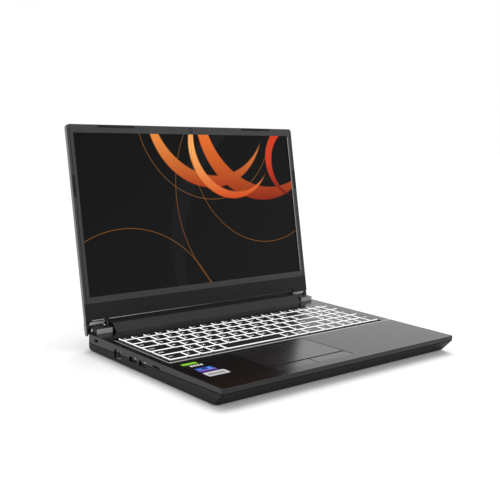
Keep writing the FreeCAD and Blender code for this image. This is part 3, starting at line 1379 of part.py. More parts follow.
def make_hinge_trims():
    """Two thin strips on the lid's slanted edge, above the hinge blocks."""
    upper, lower = f"({BEZEL_BACK} + trim_set)", f"({BEZEL_BACK} + trim_set + trim_width)"
    slant = f"sqrt(1 + {BEVEL_RUN} * {BEVEL_RUN})"
    out_y, out_z = f"trim_wall / {slant}", f"trim_wall * {BEVEL_RUN} / {slant}"
    points = [
        (bevel_y(upper), upper),
        (f"{bevel_y(upper)} + {out_y}", f"{upper} - {out_z}"),
        (f"{bevel_y(lower)} + {out_y}", f"{lower} - {out_z}"),
        (bevel_y(lower), lower),
    ]
    trims = []
    for side, sign in SIDES:
        x = span(sign, f"{BLOCK_IN} + trim_inset", f"{BLOCK_OUT} - trim_inset")
        trims.append(side_prism(f"hinge_trim_{side}", points, x))
    lid_node("lid_hinge_trims", together("lid_hinge_trims", trims))


make_bottom_cover()
make_top_case()
make_case_trim()
make_hinge_covers()
both_sides(make_hinge_bracket)
make_keyboard()
make_touch_pad()
make_boards()
make_heat_pipes()
both_sides(make_cooling)
make_network_socket()
make_side_sockets()
make_rear_sockets()
make_lid_back()
make_lid_front()
make_lid_bumpers()
both_sides(make_lid_hinge)
make_hinge_trims()
doc.recompute()

for item in doc.Objects:
    if "Invalid" in item.State or "Error" in item.State:
        raise RuntimeError(f"{item.Label} failed: {item.State}")
for item in NODES:
    if item.Shape.isNull() or not item.Shape.isValid() or not item.Shape.Solids:
        raise RuntimeError(f"{item.Label} has no valid solid")

os.makedirs("parts", exist_ok=True)
for item in NODES:
    item.Shape.exportStep(f"parts/{item.Label}.step")
    print(f"{item.Label}: {len(item.Shape.Solids)} solids, {item.Shape.Volume:.0f} mm3")
print(f"{len(NODES)} pieces")
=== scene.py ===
# %% [markdown]
# # A dressed laptop computer
# The solids of the computer come in as a fixed frame: every piece already has its real size and
# place. This lesson gives each surface its finish, adds what is too thin to be a solid (printed
# letters, stickers, the picture on the screen, contacts in the sockets), and sets up a small product
# studio.

# %% Load the frame
import json
import math

import bmesh
import bpy
from mathutils import Matrix, Vector


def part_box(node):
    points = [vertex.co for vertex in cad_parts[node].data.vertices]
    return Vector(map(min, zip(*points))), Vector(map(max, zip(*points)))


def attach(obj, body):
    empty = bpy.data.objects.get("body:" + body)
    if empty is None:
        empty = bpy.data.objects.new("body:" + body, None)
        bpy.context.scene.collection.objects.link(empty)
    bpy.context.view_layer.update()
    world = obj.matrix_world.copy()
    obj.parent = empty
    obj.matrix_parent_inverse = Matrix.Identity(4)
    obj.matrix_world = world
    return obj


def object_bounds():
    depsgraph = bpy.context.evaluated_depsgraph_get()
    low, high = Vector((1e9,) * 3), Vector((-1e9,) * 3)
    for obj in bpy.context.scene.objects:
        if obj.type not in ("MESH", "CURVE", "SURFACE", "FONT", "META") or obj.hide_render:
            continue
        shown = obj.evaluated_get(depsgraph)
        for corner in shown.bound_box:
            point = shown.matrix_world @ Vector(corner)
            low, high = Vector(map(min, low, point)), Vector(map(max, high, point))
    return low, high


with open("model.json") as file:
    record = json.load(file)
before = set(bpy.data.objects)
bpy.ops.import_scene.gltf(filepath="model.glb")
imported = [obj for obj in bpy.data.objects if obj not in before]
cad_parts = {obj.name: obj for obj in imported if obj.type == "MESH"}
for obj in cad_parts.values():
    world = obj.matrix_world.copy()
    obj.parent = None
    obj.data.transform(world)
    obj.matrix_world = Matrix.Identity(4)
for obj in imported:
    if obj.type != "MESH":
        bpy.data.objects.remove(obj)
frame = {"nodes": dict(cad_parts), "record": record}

nodes = frame["nodes"]
cad_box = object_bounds()
MM = 0.001
print("nodes:", len(nodes), "box:", [round(side / MM, 1) for side in cad_box[1] - cad_box[0]])

# %% [markdown]
# ## The camera
# The photograph was taken from the front left, a little above the lid's middle, with a lens somewhat
# longer than normal. Three directions fix a camera: where it looks, which way is right, and the up
# that follows from both. The small roll comes from the right direction, which is not quite level.

# %% Camera
CAMERA_PLACE = Vector((-0.66935, -0.71806, 0.27477))
CAMERA_FORWARD = Vector((0.65078, 0.7433, -0.15489)).normalized()
CAMERA_RIGHT = Vector((0.75557, -0.6541, 0.03562))
CAMERA_LENS = 60.84
SENSOR_WIDTH = 36.0

camera_data = bpy.data.cameras.new("photo_camera")
camera_data.lens = CAMERA_LENS
camera_data.sensor_width = SENSOR_WIDTH
camera = bpy.data.objects.new("photo_camera", camera_data)
bpy.context.scene.collection.objects.link(camera)
camera_up = CAMERA_RIGHT.cross(CAMERA_FORWARD).normalized()
camera_right = CAMERA_FORWARD.cross(camera_up)
turn = Matrix((camera_right, camera_up, -CAMERA_FORWARD)).transposed().to_4x4()
camera.matrix_world = Matrix.Translation(CAMERA_PLACE) @ turn
bpy.context.scene.camera = camera
bpy.context.scene.view_settings.view_transform = "Standard"
print("camera distance:", round(CAMERA_PLACE.length, 3), "m")

# %% [markdown]
# ## Tools for materials
# Colours are picked as sRGB hex codes, the way a colour picker shows them, and shaders want linear
# light, so one function converts them. A second function adds a node with its settings and links,
# which keeps the material recipes below short enough to read.

# %% Colour and node helpers
def linear(code):
    """A hex colour as the linear RGBA that a shader reads."""
    shares = [int(code[place:place + 2], 16) / 255 for place in (1, 3, 5)]
    bent = [share / 12.92 if share <= 0.04045 else ((share + 0.055) / 1.055) ** 2.4 for share in shares]
    return (*bent, 1.0)


def add(tree, kind, inputs=None, stops=None, **settings):
    """A new node with its settings; an input is a value, or another node's output socket."""
    node = tree.nodes.new(kind)
    for name, value in settings.items():
        setattr(node, name, value)
    for name, value in (inputs or {}).items():
        socket = node.inputs[name]
        if isinstance(value, bpy.types.NodeSocket):
            tree.links.new(value, socket)
        else:
            socket.default_value = value
    for place, (position, colour) in enumerate(stops or []):
        elements = node.color_ramp.elements
        element = elements[place] if place < 2 else elements.new(position)
        element.position = position
        element.color = colour
    return node


def new_material(name):
    """An empty material with its output and its principled shader."""
    material = bpy.data.materials.new(name)
    material.use_nodes = True
    tree = material.node_tree
    tree.nodes.clear()
    shader = add(tree, "ShaderNodeBsdfPrincipled")
    output = add(tree, "ShaderNodeOutputMaterial")
    tree.links.new(shader.outputs["BSDF"], output.inputs["Surface"])
    return material, tree, shader


def finish(material, *names):
    """Gives CAD pieces their finish."""
    for name in names:
        slots = nodes[name].data.materials
        for place in range(len(slots)):
            slots[place] = material


print("slots per piece:", {len(item.data.materials) for item in nodes.values()})

# %% [markdown]
# ## Moulded plastic
# Almost everything outside is ABS or a PC-ABS blend, moulded in a tool with a fine spark-eroded
# texture. Such plastic is nearly black by itself; what the eye sees as grey is the studio mirrored in
# its skin, weakly where it is seen square on and strongly at a grazing angle. So the colour stays
# dark and the roughness does the work. The grain of a real tool is about 0.1 mm, too fine to show
# here, so it is drawn about ten times as coarse.

# %% Moulded plastic
# A Mix node for colours repeats its socket names, so its sockets are told by number.
MIX_A, MIX_B, MIX_RESULT = 6, 7, 2
WIPE_SIZE = 45.0
GLOSS_SPREAD = 0.03
WALL_FROM, WALL_FULL = 0.6, 0.9


def side_wall(tree):
    """The share, from 0 to 1, by which a surface faces to the left or right: the mask of the painted
    side light.
    """
    facing = add(tree, "ShaderNodeNewGeometry").outputs["Normal"]
    sideways = add(tree, "ShaderNodeSeparateXYZ", {"Vector": facing}).outputs["X"]
    turned = add(tree, "ShaderNodeMath", {0: sideways}, operation="ABSOLUTE").outputs["Value"]
    wall = add(tree, "ShaderNodeMapRange", {"Value": turned, "From Min": WALL_FROM,
                                            "From Max": WALL_FULL})
    return wall.outputs["Result"]


def moulded_plastic(name, dark, light, rough, grain=1.0, depth=0.012, specular=0.5, side=None):
    """Textured plastic between two close colours; grain and depth are in millimetres.

    Where a side colour is given, the left and right walls have it, as painted light.
    """
    material, tree, shader = new_material(name)
    place = add(tree, "ShaderNodeTexCoord").outputs["Object"]
    pits = add(tree, "ShaderNodeTexNoise", {"Vector": place, "Scale": 1 / (grain * MM), "Detail": 2.0})
    wiped = add(tree, "ShaderNodeTexNoise", {"Vector": place, "Scale": 1 / (WIPE_SIZE * MM),
                                             "Detail": 3.0})
    tint = add(tree, "ShaderNodeValToRGB", {"Fac": pits.outputs["Fac"]},
               stops=[(0.38, linear(dark)), (0.62, linear(light))])
    gloss = add(tree, "ShaderNodeMapRange", {"Value": wiped.outputs["Fac"],
                                             "From Min": 0.3, "From Max": 0.7,
                                             "To Min": rough - GLOSS_SPREAD,
                                             "To Max": rough + GLOSS_SPREAD})
    bump = add(tree, "ShaderNodeBump", {"Height": pits.outputs["Fac"], "Distance": depth * MM,
                                        "Strength": 0.6})
    colour = tint.outputs["Color"]
    if side:
        colour = add(tree, "ShaderNodeMix", {"Factor": side_wall(tree), MIX_A: colour,
                                             MIX_B: linear(side)},
                     data_type="RGBA").outputs[MIX_RESULT]
    tree.links.new(colour, shader.inputs["Base Color"])
    tree.links.new(gloss.outputs["Result"], shader.inputs["Roughness"])
    tree.links.new(bump.outputs["Normal"], shader.inputs["Normal"])
    shader.inputs["Specular IOR Level"].default_value = specular
    return material


# The side colours are painted light: the tub's left and right walls are a little paler, and the lid's
# sides carry a pale painted highlight.
tub_plastic = moulded_plastic("black ABS, textured tub", "#080808", "#101010", 0.5,
                              specular=0.14, side="#242424")
lid_plastic = moulded_plastic("black ABS, textured lid", "#0d0d0e", "#1a1a1b", 0.44, side="#7c7c7c")
bezel_plastic = moulded_plastic("black ABS, coarse bezel", "#1e1e1e", "#3c3c3c", 0.5, grain=1.2)
chin_plastic = moulded_plastic("black ABS, dull chin", "#141414", "#212121", 0.6, specular=0.25)
bar_plastic = moulded_plastic("black ABS, hinge bar", "#0a0a0a", "#121212", 0.5, specular=0.32)
rubber = moulded_plastic("black rubber, moulded", "#0a0a0a", "#161616", 0.75, grain=0.9, specular=0.3)

finish(tub_plastic, "bottom_cover")
finish(lid_plastic, "lid_back_cover")
finish(bezel_plastic, "display_bezel")
finish(chin_plastic, "lid_chin")
finish(bar_plastic, "hinge_bar")
finish(rubber, "rubber_feet", "lid_bumpers")
print("plastic on case, lid and bezel")

# %% [markdown]
# ## The deck
# The upper shell is moulded with a smoother skin than the tub below it, so at a low angle it mirrors
# the tent. Its side walls are a little paler, as painted light, and the surface normal tells them from
# the top. A line of painted shade lies along the seam between the two shells. The seam falls to the
# rear, so a height plus a share of Y stays the same all along it, and one dot product finds the points
# close above it.

# %% The deck's skin
DECK_ROUGH = 0.2
DECK_GRAIN = 1.0
DECK_PIT = 0.008
SEAM_FRONT = 15.6 * MM
SEAM_SLOPE = math.tan(math.radians(1.28))
SEAM_LEVEL = SEAM_FRONT + cad_box[0].y * SEAM_SLOPE
SEAM_SHADE = 0.7 * MM

deck_plastic, tree, shader = new_material("black ABS, palm rest and key field")
place = add(tree, "ShaderNodeTexCoord").outputs["Object"]
pits = add(tree, "ShaderNodeTexNoise", {"Vector": place, "Scale": 1 / (DECK_GRAIN * MM), "Detail": 2.0})
tint = add(tree, "ShaderNodeValToRGB", {"Fac": pits.outputs["Fac"]},
           stops=[(0.38, linear("#040404")), (0.62, linear("#0a0a0a"))])
bump = add(tree, "ShaderNodeBump", {"Height": pits.outputs["Fac"], "Distance": DECK_PIT * MM,
                                    "Strength": 0.5})
# Painted light: the deck's left and right walls are paler.
painted_side_light = add(tree, "ShaderNodeMix", {"Factor": side_wall(tree), MIX_A: tint.outputs["Color"],
                                   MIX_B: linear("#242425")},
           data_type="RGBA").outputs[MIX_RESULT]
# Painted shade: the deck goes near black in a thin strip just above the seam.
level = add(tree, "ShaderNodeVectorMath", {0: place, 1: (0.0, SEAM_SLOPE, 1.0)},
            operation="DOT_PRODUCT").outputs["Value"]
shade = add(tree, "ShaderNodeMath", {0: level, 1: SEAM_LEVEL + SEAM_SHADE},
            operation="LESS_THAN").outputs["Value"]
skin = add(tree, "ShaderNodeMix", {"Factor": shade, MIX_A: painted_side_light, MIX_B: linear("#010101")},
           data_type="RGBA").outputs[MIX_RESULT]
tree.links.new(skin, shader.inputs["Base Color"])
tree.links.new(bump.outputs["Normal"], shader.inputs["Normal"])
shader.inputs["Roughness"].default_value = DECK_ROUGH
shader.inputs["Specular IOR Level"].default_value = 0.36
finish(deck_plastic, "top_case")
print("deck seam at", round(SEAM_FRONT / MM, 1), "mm in front")

# %% [markdown]
# ## Key caps
# Each cap is a clear-white moulding painted black on top and then laser-cut for its letter, so its
# slanted skirt stays white and glows a little from the lamps under the keys. The top face is the only
# part of a cap near its full height, so the height in Object coordinates parts paint from skirt.

# %% Key caps
KEY_GROUPS = [
    "modifier_keys", "space_bar", "arrow_keys", "left_shift_key", "lower_letter_keys",
    "home_letter_keys", "enter_key", "upper_letter_keys", "number_keys", "number_pad_keys",
    "function_keys", "power_key",
]
KEY_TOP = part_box("space_bar")[1].z
PAINT_EDGE = 0.12 * MM
WHITE_EDGE = 1.1 * MM
PAINT_GRAIN = 0.9
KEY_GLOW = 0.65

key_plastic, tree, shader = new_material("white ABS key cap with black paint")
place = add(tree, "ShaderNodeTexCoord").outputs["Object"]
height = add(tree, "ShaderNodeSeparateXYZ", {"Vector": place}).outputs["Z"]
painted = add(tree, "ShaderNodeMapRange", {"Value": height, "From Min": KEY_TOP - PAINT_EDGE,
                                           "From Max": KEY_TOP - PAINT_EDGE / 2}).outputs["Result"]
pits = add(tree, "ShaderNodeTexNoise", {"Vector": place, "Scale": 1 / (PAINT_GRAIN * MM), "Detail": 2.0})
paint = add(tree, "ShaderNodeValToRGB", {"Fac": pits.outputs["Fac"]},
            stops=[(0.35, linear("#060606")), (0.65, linear("#0d0d0d"))])
skirt = add(tree, "ShaderNodeMapRange", {"Value": height, "From Min": KEY_TOP - WHITE_EDGE - PAINT_EDGE,
                                         "From Max": KEY_TOP - WHITE_EDGE}).outputs["Result"]
top = add(tree, "ShaderNodeMath", {0: 1.0, 1: painted}, operation="SUBTRACT").outputs["Value"]
white = add(tree, "ShaderNodeMath", {0: skirt, 1: top}, operation="MULTIPLY").outputs["Value"]
tint = add(tree, "ShaderNodeMix", {"Factor": white, MIX_A: paint.outputs["Color"],
                                   MIX_B: linear("#f2f2f0")},
           data_type="RGBA").outputs[MIX_RESULT]
glow = add(tree, "ShaderNodeMath", {0: white, 1: KEY_GLOW}, operation="MULTIPLY").outputs["Value"]
tree.links.new(tint, shader.inputs["Base Color"])
tree.links.new(glow, shader.inputs["Emission Strength"])
shader.inputs["Emission Color"].default_value = linear("#ffffff")
shader.inputs["Roughness"].default_value = 0.3
finish(key_plastic, *KEY_GROUPS)
print("key caps:", len(KEY_GROUPS), "groups, tops at", round(KEY_TOP / MM, 2), "mm")

# %% [markdown]
# ## Touch pad, hinge covers and small mouldings
# The touch pad is a smooth polyester film over its sensor, a little glossier than the palm rest round
# it. The hinge covers are black with a painted highlight on their front, and the strips above them are
# pale grey with a painted highlight as well. The tubes of the status lights are smoked acrylic, and the
# camera looks out through a black glass disc. The recipe for moulded plastic serves here too, with
# shallower pits and a glossier skin. The covers have two colours, black and a painted highlight, so they
# get a recipe of their own.

# %% Touch pad, hinge strips and lights
touch_film = moulded_plastic("polyester film, smooth black", "#0b0b0c", "#121213", 0.22,
                             grain=2.0, depth=0.004, specular=0.75)
# The hinge strips are pale grey, raised near white as a painted highlight.
pale_trim_highlight = moulded_plastic("pale grey ABS with painted highlight, hinge strip", "#dedede", "#f2f2f2", 0.38, grain=0.8)
status_lens = moulded_plastic("smoked acrylic, light tube", "#15181a", "#20262a", 0.15,
                              grain=2.0, depth=0.002)
camera_glass = moulded_plastic("black glass, camera window", "#020203", "#040406", 0.06,
                               grain=3.0, depth=0.001)
finish(touch_film, "touchpad", "touchpad_left_button", "touchpad_right_button")
finish(pale_trim_highlight, "lid_hinge_trims")
finish(status_lens, "status_lights")
finish(camera_glass, "camera_module")
print("touch pad, hinge strips, lights and camera finished")

# %% Hinge covers
# The covers are black mouldings; their face towards the keyboard gets a painted highlight in pale grey,
# told apart by the normal.
FACE_FROM, FACE_FULL = -0.7, -0.9

hinge_face_highlight, tree, shader = new_material("black ABS, painted highlight on the front face")
facing = add(tree, "ShaderNodeNewGeometry").outputs["Normal"]
forward = add(tree, "ShaderNodeSeparateXYZ", {"Vector": facing}).outputs["Y"]
face = add(tree, "ShaderNodeMapRange", {"Value": forward, "From Min": FACE_FROM,
                                        "From Max": FACE_FULL}).outputs["Result"]
tint = add(tree, "ShaderNodeMix", {"Factor": face, MIX_A: linear("#0d0d0e"), MIX_B: linear("#bcbcbc")},
           data_type="RGBA").outputs[MIX_RESULT]
tree.links.new(tint, shader.inputs["Base Color"])
shader.inputs["Roughness"].default_value = 0.45
finish(hinge_face_highlight, "hinge_cover_left", "hinge_cover_right")
print("hinge covers done")

# %% [markdown]
# ## Metals
# Sockets are drawn from nickel-plated steel, the hinge brackets and pins are zinc-plated steel, the
# hinge arms and screws black-oxide steel, the fins aluminium and the heat pipes copper. A metal has
# no colour of its own under the mirror, only a tinted mirror, so the tint goes in the base colour
# with metallic at one. Rolling leaves fine lines along the sheet: a noise stretched along one axis
# draws them.

# %% Metals
LINE_STRETCH = 0.08
METAL_SPREAD = 0.08
LINE_DEPTH = 0.004


def rolled_metal(name, tint, rough, line=0.8):
    """Sheet or drawn metal with fine lines along X; line width in millimetres."""
    material, tree, shader = new_material(name)
    place = add(tree, "ShaderNodeTexCoord").outputs["Object"]
    drawn = add(tree, "ShaderNodeMapping", {"Vector": place,
                                            "Scale": (LINE_STRETCH, 1.0, 1.0)}).outputs["Vector"]
    lines = add(tree, "ShaderNodeTexNoise", {"Vector": drawn, "Scale": 1 / (line * MM), "Detail": 3.0})
    gloss = add(tree, "ShaderNodeMapRange", {"Value": lines.outputs["Fac"],
                                             "To Min": rough - METAL_SPREAD,
                                             "To Max": rough + METAL_SPREAD})
    bump = add(tree, "ShaderNodeBump", {"Height": lines.outputs["Fac"], "Distance": LINE_DEPTH * MM,
                                        "Strength": 0.4})
    tree.links.new(gloss.outputs["Result"], shader.inputs["Roughness"])
    tree.links.new(bump.outputs["Normal"], shader.inputs["Normal"])
    shader.inputs["Base Color"].default_value = linear(tint)
    shader.inputs["Metallic"].default_value = 1.0
    return material


nickel = rolled_metal("nickel-plated steel, drawn", "#b6b5b2", 0.32)
zinc = rolled_metal("zinc-plated steel, pressed", "#8d9095", 0.38)
dark_steel = rolled_metal("black-oxide steel, pressed", "#3a3a3c", 0.42)
copper = rolled_metal("copper tube, drawn", "#c4734d", 0.35)
aluminium = rolled_metal("aluminium fins, rolled", "#c9cbce", 0.36)
finish(nickel, "usb_sockets_left", "usb_socket_right", "ethernet_socket", "rear_sockets")
finish(zinc, "hinge_bracket_left", "hinge_bracket_right", "hinge_pin_left", "hinge_pin_right")
finish(dark_steel, "hinge_arm_left", "hinge_arm_right", "bottom_screws", "keyboard_plate",
       "touchpad_bracket")
finish(copper, "heat_pipes")
finish(aluminium, "fin_stack_left", "fin_stack_right")
print("metal on sockets, hinges and cooling")

# %% [markdown]
# ## Inside the case
# The board is glass-epoxy laminate under a dark solder mask, the chips are epoxy with a dull face,
# the battery is wrapped in black film and the fans are glass-filled nylon. They show through the
# vents and when the case is taken apart, so each has its own finish too.

# %% Board, chips, battery and fans
board_laminate = moulded_plastic("epoxy laminate, dark green mask", "#0b2416", "#12351f", 0.35,
                                 grain=2.5)
chip_epoxy = moulded_plastic("moulded epoxy, chip face", "#121214", "#1c1c1f", 0.5, grain=0.6)
battery_film = moulded_plastic("battery wrap, black film", "#0c0c0d", "#161617", 0.3, grain=6.0)
fan_nylon = moulded_plastic("glass-filled nylon, fan", "#101011", "#1d1d1f", 0.55, grain=0.7)
port_nylon = moulded_plastic("black nylon, socket body", "#0a0a0a", "#141414", 0.5, grain=0.7)
finish(board_laminate, "motherboard", "memory_modules", "wireless_card", "solid_state_drive")
finish(chip_epoxy, "processor", "graphics_chip")
finish(battery_film, "battery")
finish(fan_nylon, "fan_housing_left", "fan_housing_right", "fan_rotor_left", "fan_rotor_right",
       "speakers")
finish(port_nylon, "audio_jacks", "card_slot")
print("inside pieces finished")

# %% [markdown]
# ## Placing pieces on the lid
# The lid stands open at its resting angle, which is an awkward place to measure in. It is easier to
# lay pieces out as if the lid were shut, flat over the deck, and then turn them open about the hinge
# pins. The hinge's place comes from the frame.

# %% The lid's turn
LID_OPEN = math.radians(101.93)
joints = frame["record"]["behaviour"]["joints"]
hinge_joint = next(joint for joint in joints if joint["name"] == "lid_hinge")
hinge = Vector(hinge_joint["pos_m"])
lid_turn = Matrix.Translation(hinge) @ Matrix.Rotation(-LID_OPEN, 4, "X") @ Matrix.Translation(-hinge)


def closed_box(name):
    """Lowest and highest corner of a lid piece with the lid shut."""
    shut = lid_turn.inverted()
    points = [shut @ vertex.co for vertex in nodes[name].data.vertices]
    low = Vector([min(point[axis] for point in points) for axis in range(3)])
    high = Vector([max(point[axis] for point in points) for axis in range(3)])
    return low, high


def new_piece(name, mesh, material, body):
    """A new piece from a bmesh, with its finish and the body it rides on."""
    data = bpy.data.meshes.new(name)
    mesh.to_mesh(data)
    mesh.free()
    data.materials.append(material)
    piece = bpy.data.objects.new(name, data)
    bpy.context.scene.collection.objects.link(piece)
    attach(piece, body)


panel_low, panel_high = closed_box("display_panel")
print("panel, lid shut:", [round(side / MM, 2) for side in panel_low],
      [round(side / MM, 2) for side in panel_high])

# %% [markdown]
# ## The picture on the screen
# The display is a sheet of glass with a matte film; its picture is light, not paint, so it is an
# emission. The picture here is a plain invention: dark crescents and glowing orange ones, each one
# circle with another taken out of it, with a few thin gold rings. Circles are easy to draw with the
# distance from a centre, in coordinates that run from 0 to 1 up the screen and on to its width.

# %% Picture geometry
PANEL_LAP = 2.0 * MM
PICTURE_LIFT = 0.05 * MM
picture_width = panel_high.x - panel_low.x - 2 * PANEL_LAP
picture_depth = panel_high.y - panel_low.y - 2 * PANEL_LAP
picture_middle = Vector((0.0, (panel_low.y + panel_high.y) / 2, panel_low.z - PICTURE_LIFT))
screen_shape = picture_width / picture_depth

mesh = bmesh.new()
mesh.loops.layers.uv.new("UVMap")
bmesh.ops.create_grid(mesh, x_segments=1, y_segments=1, size=0.5, calc_uvs=True)
facing_deck = Matrix.Translation(picture_middle) @ Matrix.Rotation(math.pi, 4, "X")
stretch = Matrix.Diagonal((picture_width, picture_depth, 1.0, 1.0))
bmesh.ops.transform(mesh, matrix=lid_turn @ facing_deck @ stretch, verts=mesh.verts)
print("picture:", round(picture_width / MM, 1), "by", round(picture_depth / MM, 1), "mm")

# %% Picture light
# Each crescent: outer circle (x, y, radius), inner circle taken out of it, its two colours.
CRESCENTS = [
    ((1.62, 0.22, 0.98), (1.80, 0.12, 1.06), "#141416", "#202022"),
    ((1.50, 1.10, 0.56), (1.57, 1.20, 0.57), "#f7792c", "#8c2410"),
    ((1.04, 1.14, 0.50), (1.08, 1.23, 0.51), "#ffa04a", "#a8320f"),
    ((1.80, 0.82, 0.26), (1.85, 0.80, 0.255), "#d23a1c", "#5a120c"),
    ((1.22, 0.92, 0.36), (1.26, 0.96, 0.355), "#ffb060", "#d24814"),
]
RINGS = [((1.58, 0.58), 0.86), ((1.50, 0.86), 0.62), ((1.04, 1.14), 0.58), ((0.30, -0.30), 0.70)]
RING_WIDTH = 0.0028
RING_SHINE = 0.6
FLAME_REACH = 0.4
EDGE = 0.004

screen_light, tree, shader = new_material("display film over a lit picture")
uv = add(tree, "ShaderNodeTexCoord").outputs["UV"]
square = add(tree, "ShaderNodeMapping", {"Vector": uv,
                                         "Scale": (screen_shape, 1.0, 1.0)}).outputs["Vector"]
height = add(tree, "ShaderNodeSeparateXYZ", {"Vector": square}).outputs["Y"]
picture = add(tree, "ShaderNodeValToRGB", {"Fac": height},
              stops=[(0.0, linear("#0f0f10")), (1.0, linear("#080808"))]).outputs["Color"]

for (*outer, outer_radius), (*inner, inner_radius), bright, deep in CRESCENTS:
    from_outer = add(tree, "ShaderNodeVectorMath", {0: square, 1: (*outer, 0.0)}, operation="DISTANCE")
    from_inner = add(tree, "ShaderNodeVectorMath", {0: square, 1: (*inner, 0.0)}, operation="DISTANCE")
    inside = add(tree, "ShaderNodeMapRange", {"Value": from_outer.outputs["Value"],
                                              "From Min": outer_radius + EDGE,
                                              "From Max": outer_radius - EDGE})
    outside = add(tree, "ShaderNodeMapRange", {"Value": from_inner.outputs["Value"],
                                               "From Min": inner_radius - EDGE,
                                               "From Max": inner_radius + EDGE})
    mask = add(tree, "ShaderNodeMath", {0: inside.outputs["Result"], 1: outside.outputs["Result"]},
               operation="MULTIPLY").outputs["Value"]
    fade = add(tree, "ShaderNodeMapRange", {"Value": height, "From Min": outer[1] - outer_radius,
                                            "From Max": outer[1] + FLAME_REACH * outer_radius})
    flame = add(tree, "ShaderNodeValToRGB", {"Fac": fade.outputs["Result"]},
                stops=[(0.0, linear(deep)), (0.7, linear(bright))]).outputs["Color"]
    picture = add(tree, "ShaderNodeMix", {"Factor": mask, MIX_A: picture, MIX_B: flame},
                  data_type="RGBA").outputs[MIX_RESULT]
for centre, radius in RINGS:
    reach = add(tree, "ShaderNodeVectorMath", {0: square, 1: (*centre, 0.0)}, operation="DISTANCE")
    off = add(tree, "ShaderNodeMath", {0: reach.outputs["Value"], 1: radius}, operation="SUBTRACT")
    near = add(tree, "ShaderNodeMath", {0: off.outputs["Value"]}, operation="ABSOLUTE")
    line = add(tree, "ShaderNodeMapRange", {"Value": near.outputs["Value"], "From Min": RING_WIDTH,
                                            "From Max": RING_WIDTH / 3})
    thin = add(tree, "ShaderNodeMath", {0: line.outputs["Result"], 1: RING_SHINE}, operation="MULTIPLY")
    picture = add(tree, "ShaderNodeMix", {"Factor": thin.outputs["Value"], MIX_A: picture,
                                          MIX_B: linear("#a86a2c")},
                  data_type="RGBA").outputs[MIX_RESULT]
tree.links.new(picture, shader.inputs["Emission Color"])
shader.inputs["Emission Strength"].default_value = 1.0
shader.inputs["Base Color"].default_value = linear("#020202")
shader.inputs["Roughness"].default_value = 0.35
shader.inputs["Specular IOR Level"].default_value = 0.08
new_piece("screen_picture", mesh, screen_light, "lid")
panel_glass = moulded_plastic("display glass, dark edge", "#060606", "#0a0a0a", 0.2,
                              grain=3.0, depth=0.001)
finish(panel_glass, "display_panel")
print("picture with", len(CRESCENTS), "crescents and", len(RINGS), "rings")

# %% [markdown]
# ## Letters on the keys
# The letters are printed through the caps and glow with the same white lamp as the gaps. Each cap's
# place is found from its flat top: the faces of a key group at the top height fall into one island
# per cap. The legends of a group ride on the same body as the caps, so they go down with them.

# %% Find the caps
SAME_POINT = 1e-6
SAME_HEIGHT = 1e-5


def cap_tops(name):
    """The low and high corner of each cap's flat top: rear row first, then left to right."""
    mesh = bmesh.new()
    mesh.from_mesh(nodes[name].data)
    bmesh.ops.remove_doubles(mesh, verts=mesh.verts, dist=SAME_POINT)
    waiting = {face for face in mesh.faces
               if all(abs(vert.co.z - KEY_TOP) < SAME_HEIGHT for vert in face.verts)}
    tops = []
    while waiting:
        edge_of_island = [waiting.pop()]
        corners = []
        while edge_of_island:
            face = edge_of_island.pop()
            corners += [vert.co.copy() for vert in face.verts]
            beside = {other for vert in face.verts for other in vert.link_faces} & waiting
            waiting -= beside
            edge_of_island += beside
        low = Vector([min(corner[axis] for corner in corners) for axis in range(3)])
        high = Vector([max(corner[axis] for corner in corners) for axis in range(3)])
        tops.append((low, high))
    mesh.free()
    tops.sort(key=lambda top: (-round((top[0].y + top[1].y) / MM), top[0].x))
    return tops


LEGENDS = {
    "function_keys": "esc f1 f2 f3 f4 f5 f6 f7 f8 f9 f10 f11 f12 prt ins del home end pg".split(),
    "number_keys": "` 1 2 3 4 5 6 7 8 9 0 - = back".split(),
    "upper_letter_keys": "tab Q W E R T Y U I O P [ ] \\".split(),
    "home_letter_keys": "caps A S D F G H J K L ; '".split(),
    "lower_letter_keys": "Z X C V B N M , . / shift".split(),
    "left_shift_key": ["shift"],
    "enter_key": ["enter"],
    "modifier_keys": "ctrl fn <> alt alt menu ctrl".split(),
    "arrow_keys": "^ < v >".split(),
    "number_pad_keys": "num / * - 7 8 9 + 4 5 6 1 2 3 enter 0 .".split(),
    "power_key": ["on"],
}
for group, words in LEGENDS.items():
    print(group, len(cap_tops(group)), "caps", len(words), "legends")

# %% Print the legends
LETTER_SIZE = 6.0 * MM
WORD_SIZE = 4.2 * MM
PRINT_DEPTH = 0.02 * MM
PRINT_SINK = 0.005 * MM
MARGIN = 2.4 * MM
LOW_KEYS = ("function_keys", "power_key")
LOW_KEY_SHARE = 0.8

legend_ink, tree, shader = new_material("white legend ink, backlit")
shader.inputs["Base Color"].default_value = linear("#e8e8e8")
shader.inputs["Roughness"].default_value = 0.5
shader.inputs["Emission Color"].default_value = linear("#f4f8ff")
shader.inputs["Emission Strength"].default_value = 0.8


def lettering(mesh, word, size, place):
    """Adds a word as thin solid letters to a mesh, lying flat; a place is the middle of its left end."""
    curve = bpy.data.curves.new("word", "FONT")
    curve.body = word
    curve.size = size
    curve.align_x = "LEFT"
    curve.align_y = "CENTER"
    curve.extrude = PRINT_DEPTH / 2
    curve.resolution_u = 2
    writer = bpy.data.objects.new("word", curve)
    flat = bpy.data.meshes.new_from_object(writer)
    flat.transform(Matrix.Translation(place))
    mesh.from_mesh(flat)
    bpy.data.objects.remove(writer)
    bpy.data.curves.remove(curve)
    bpy.data.meshes.remove(flat)


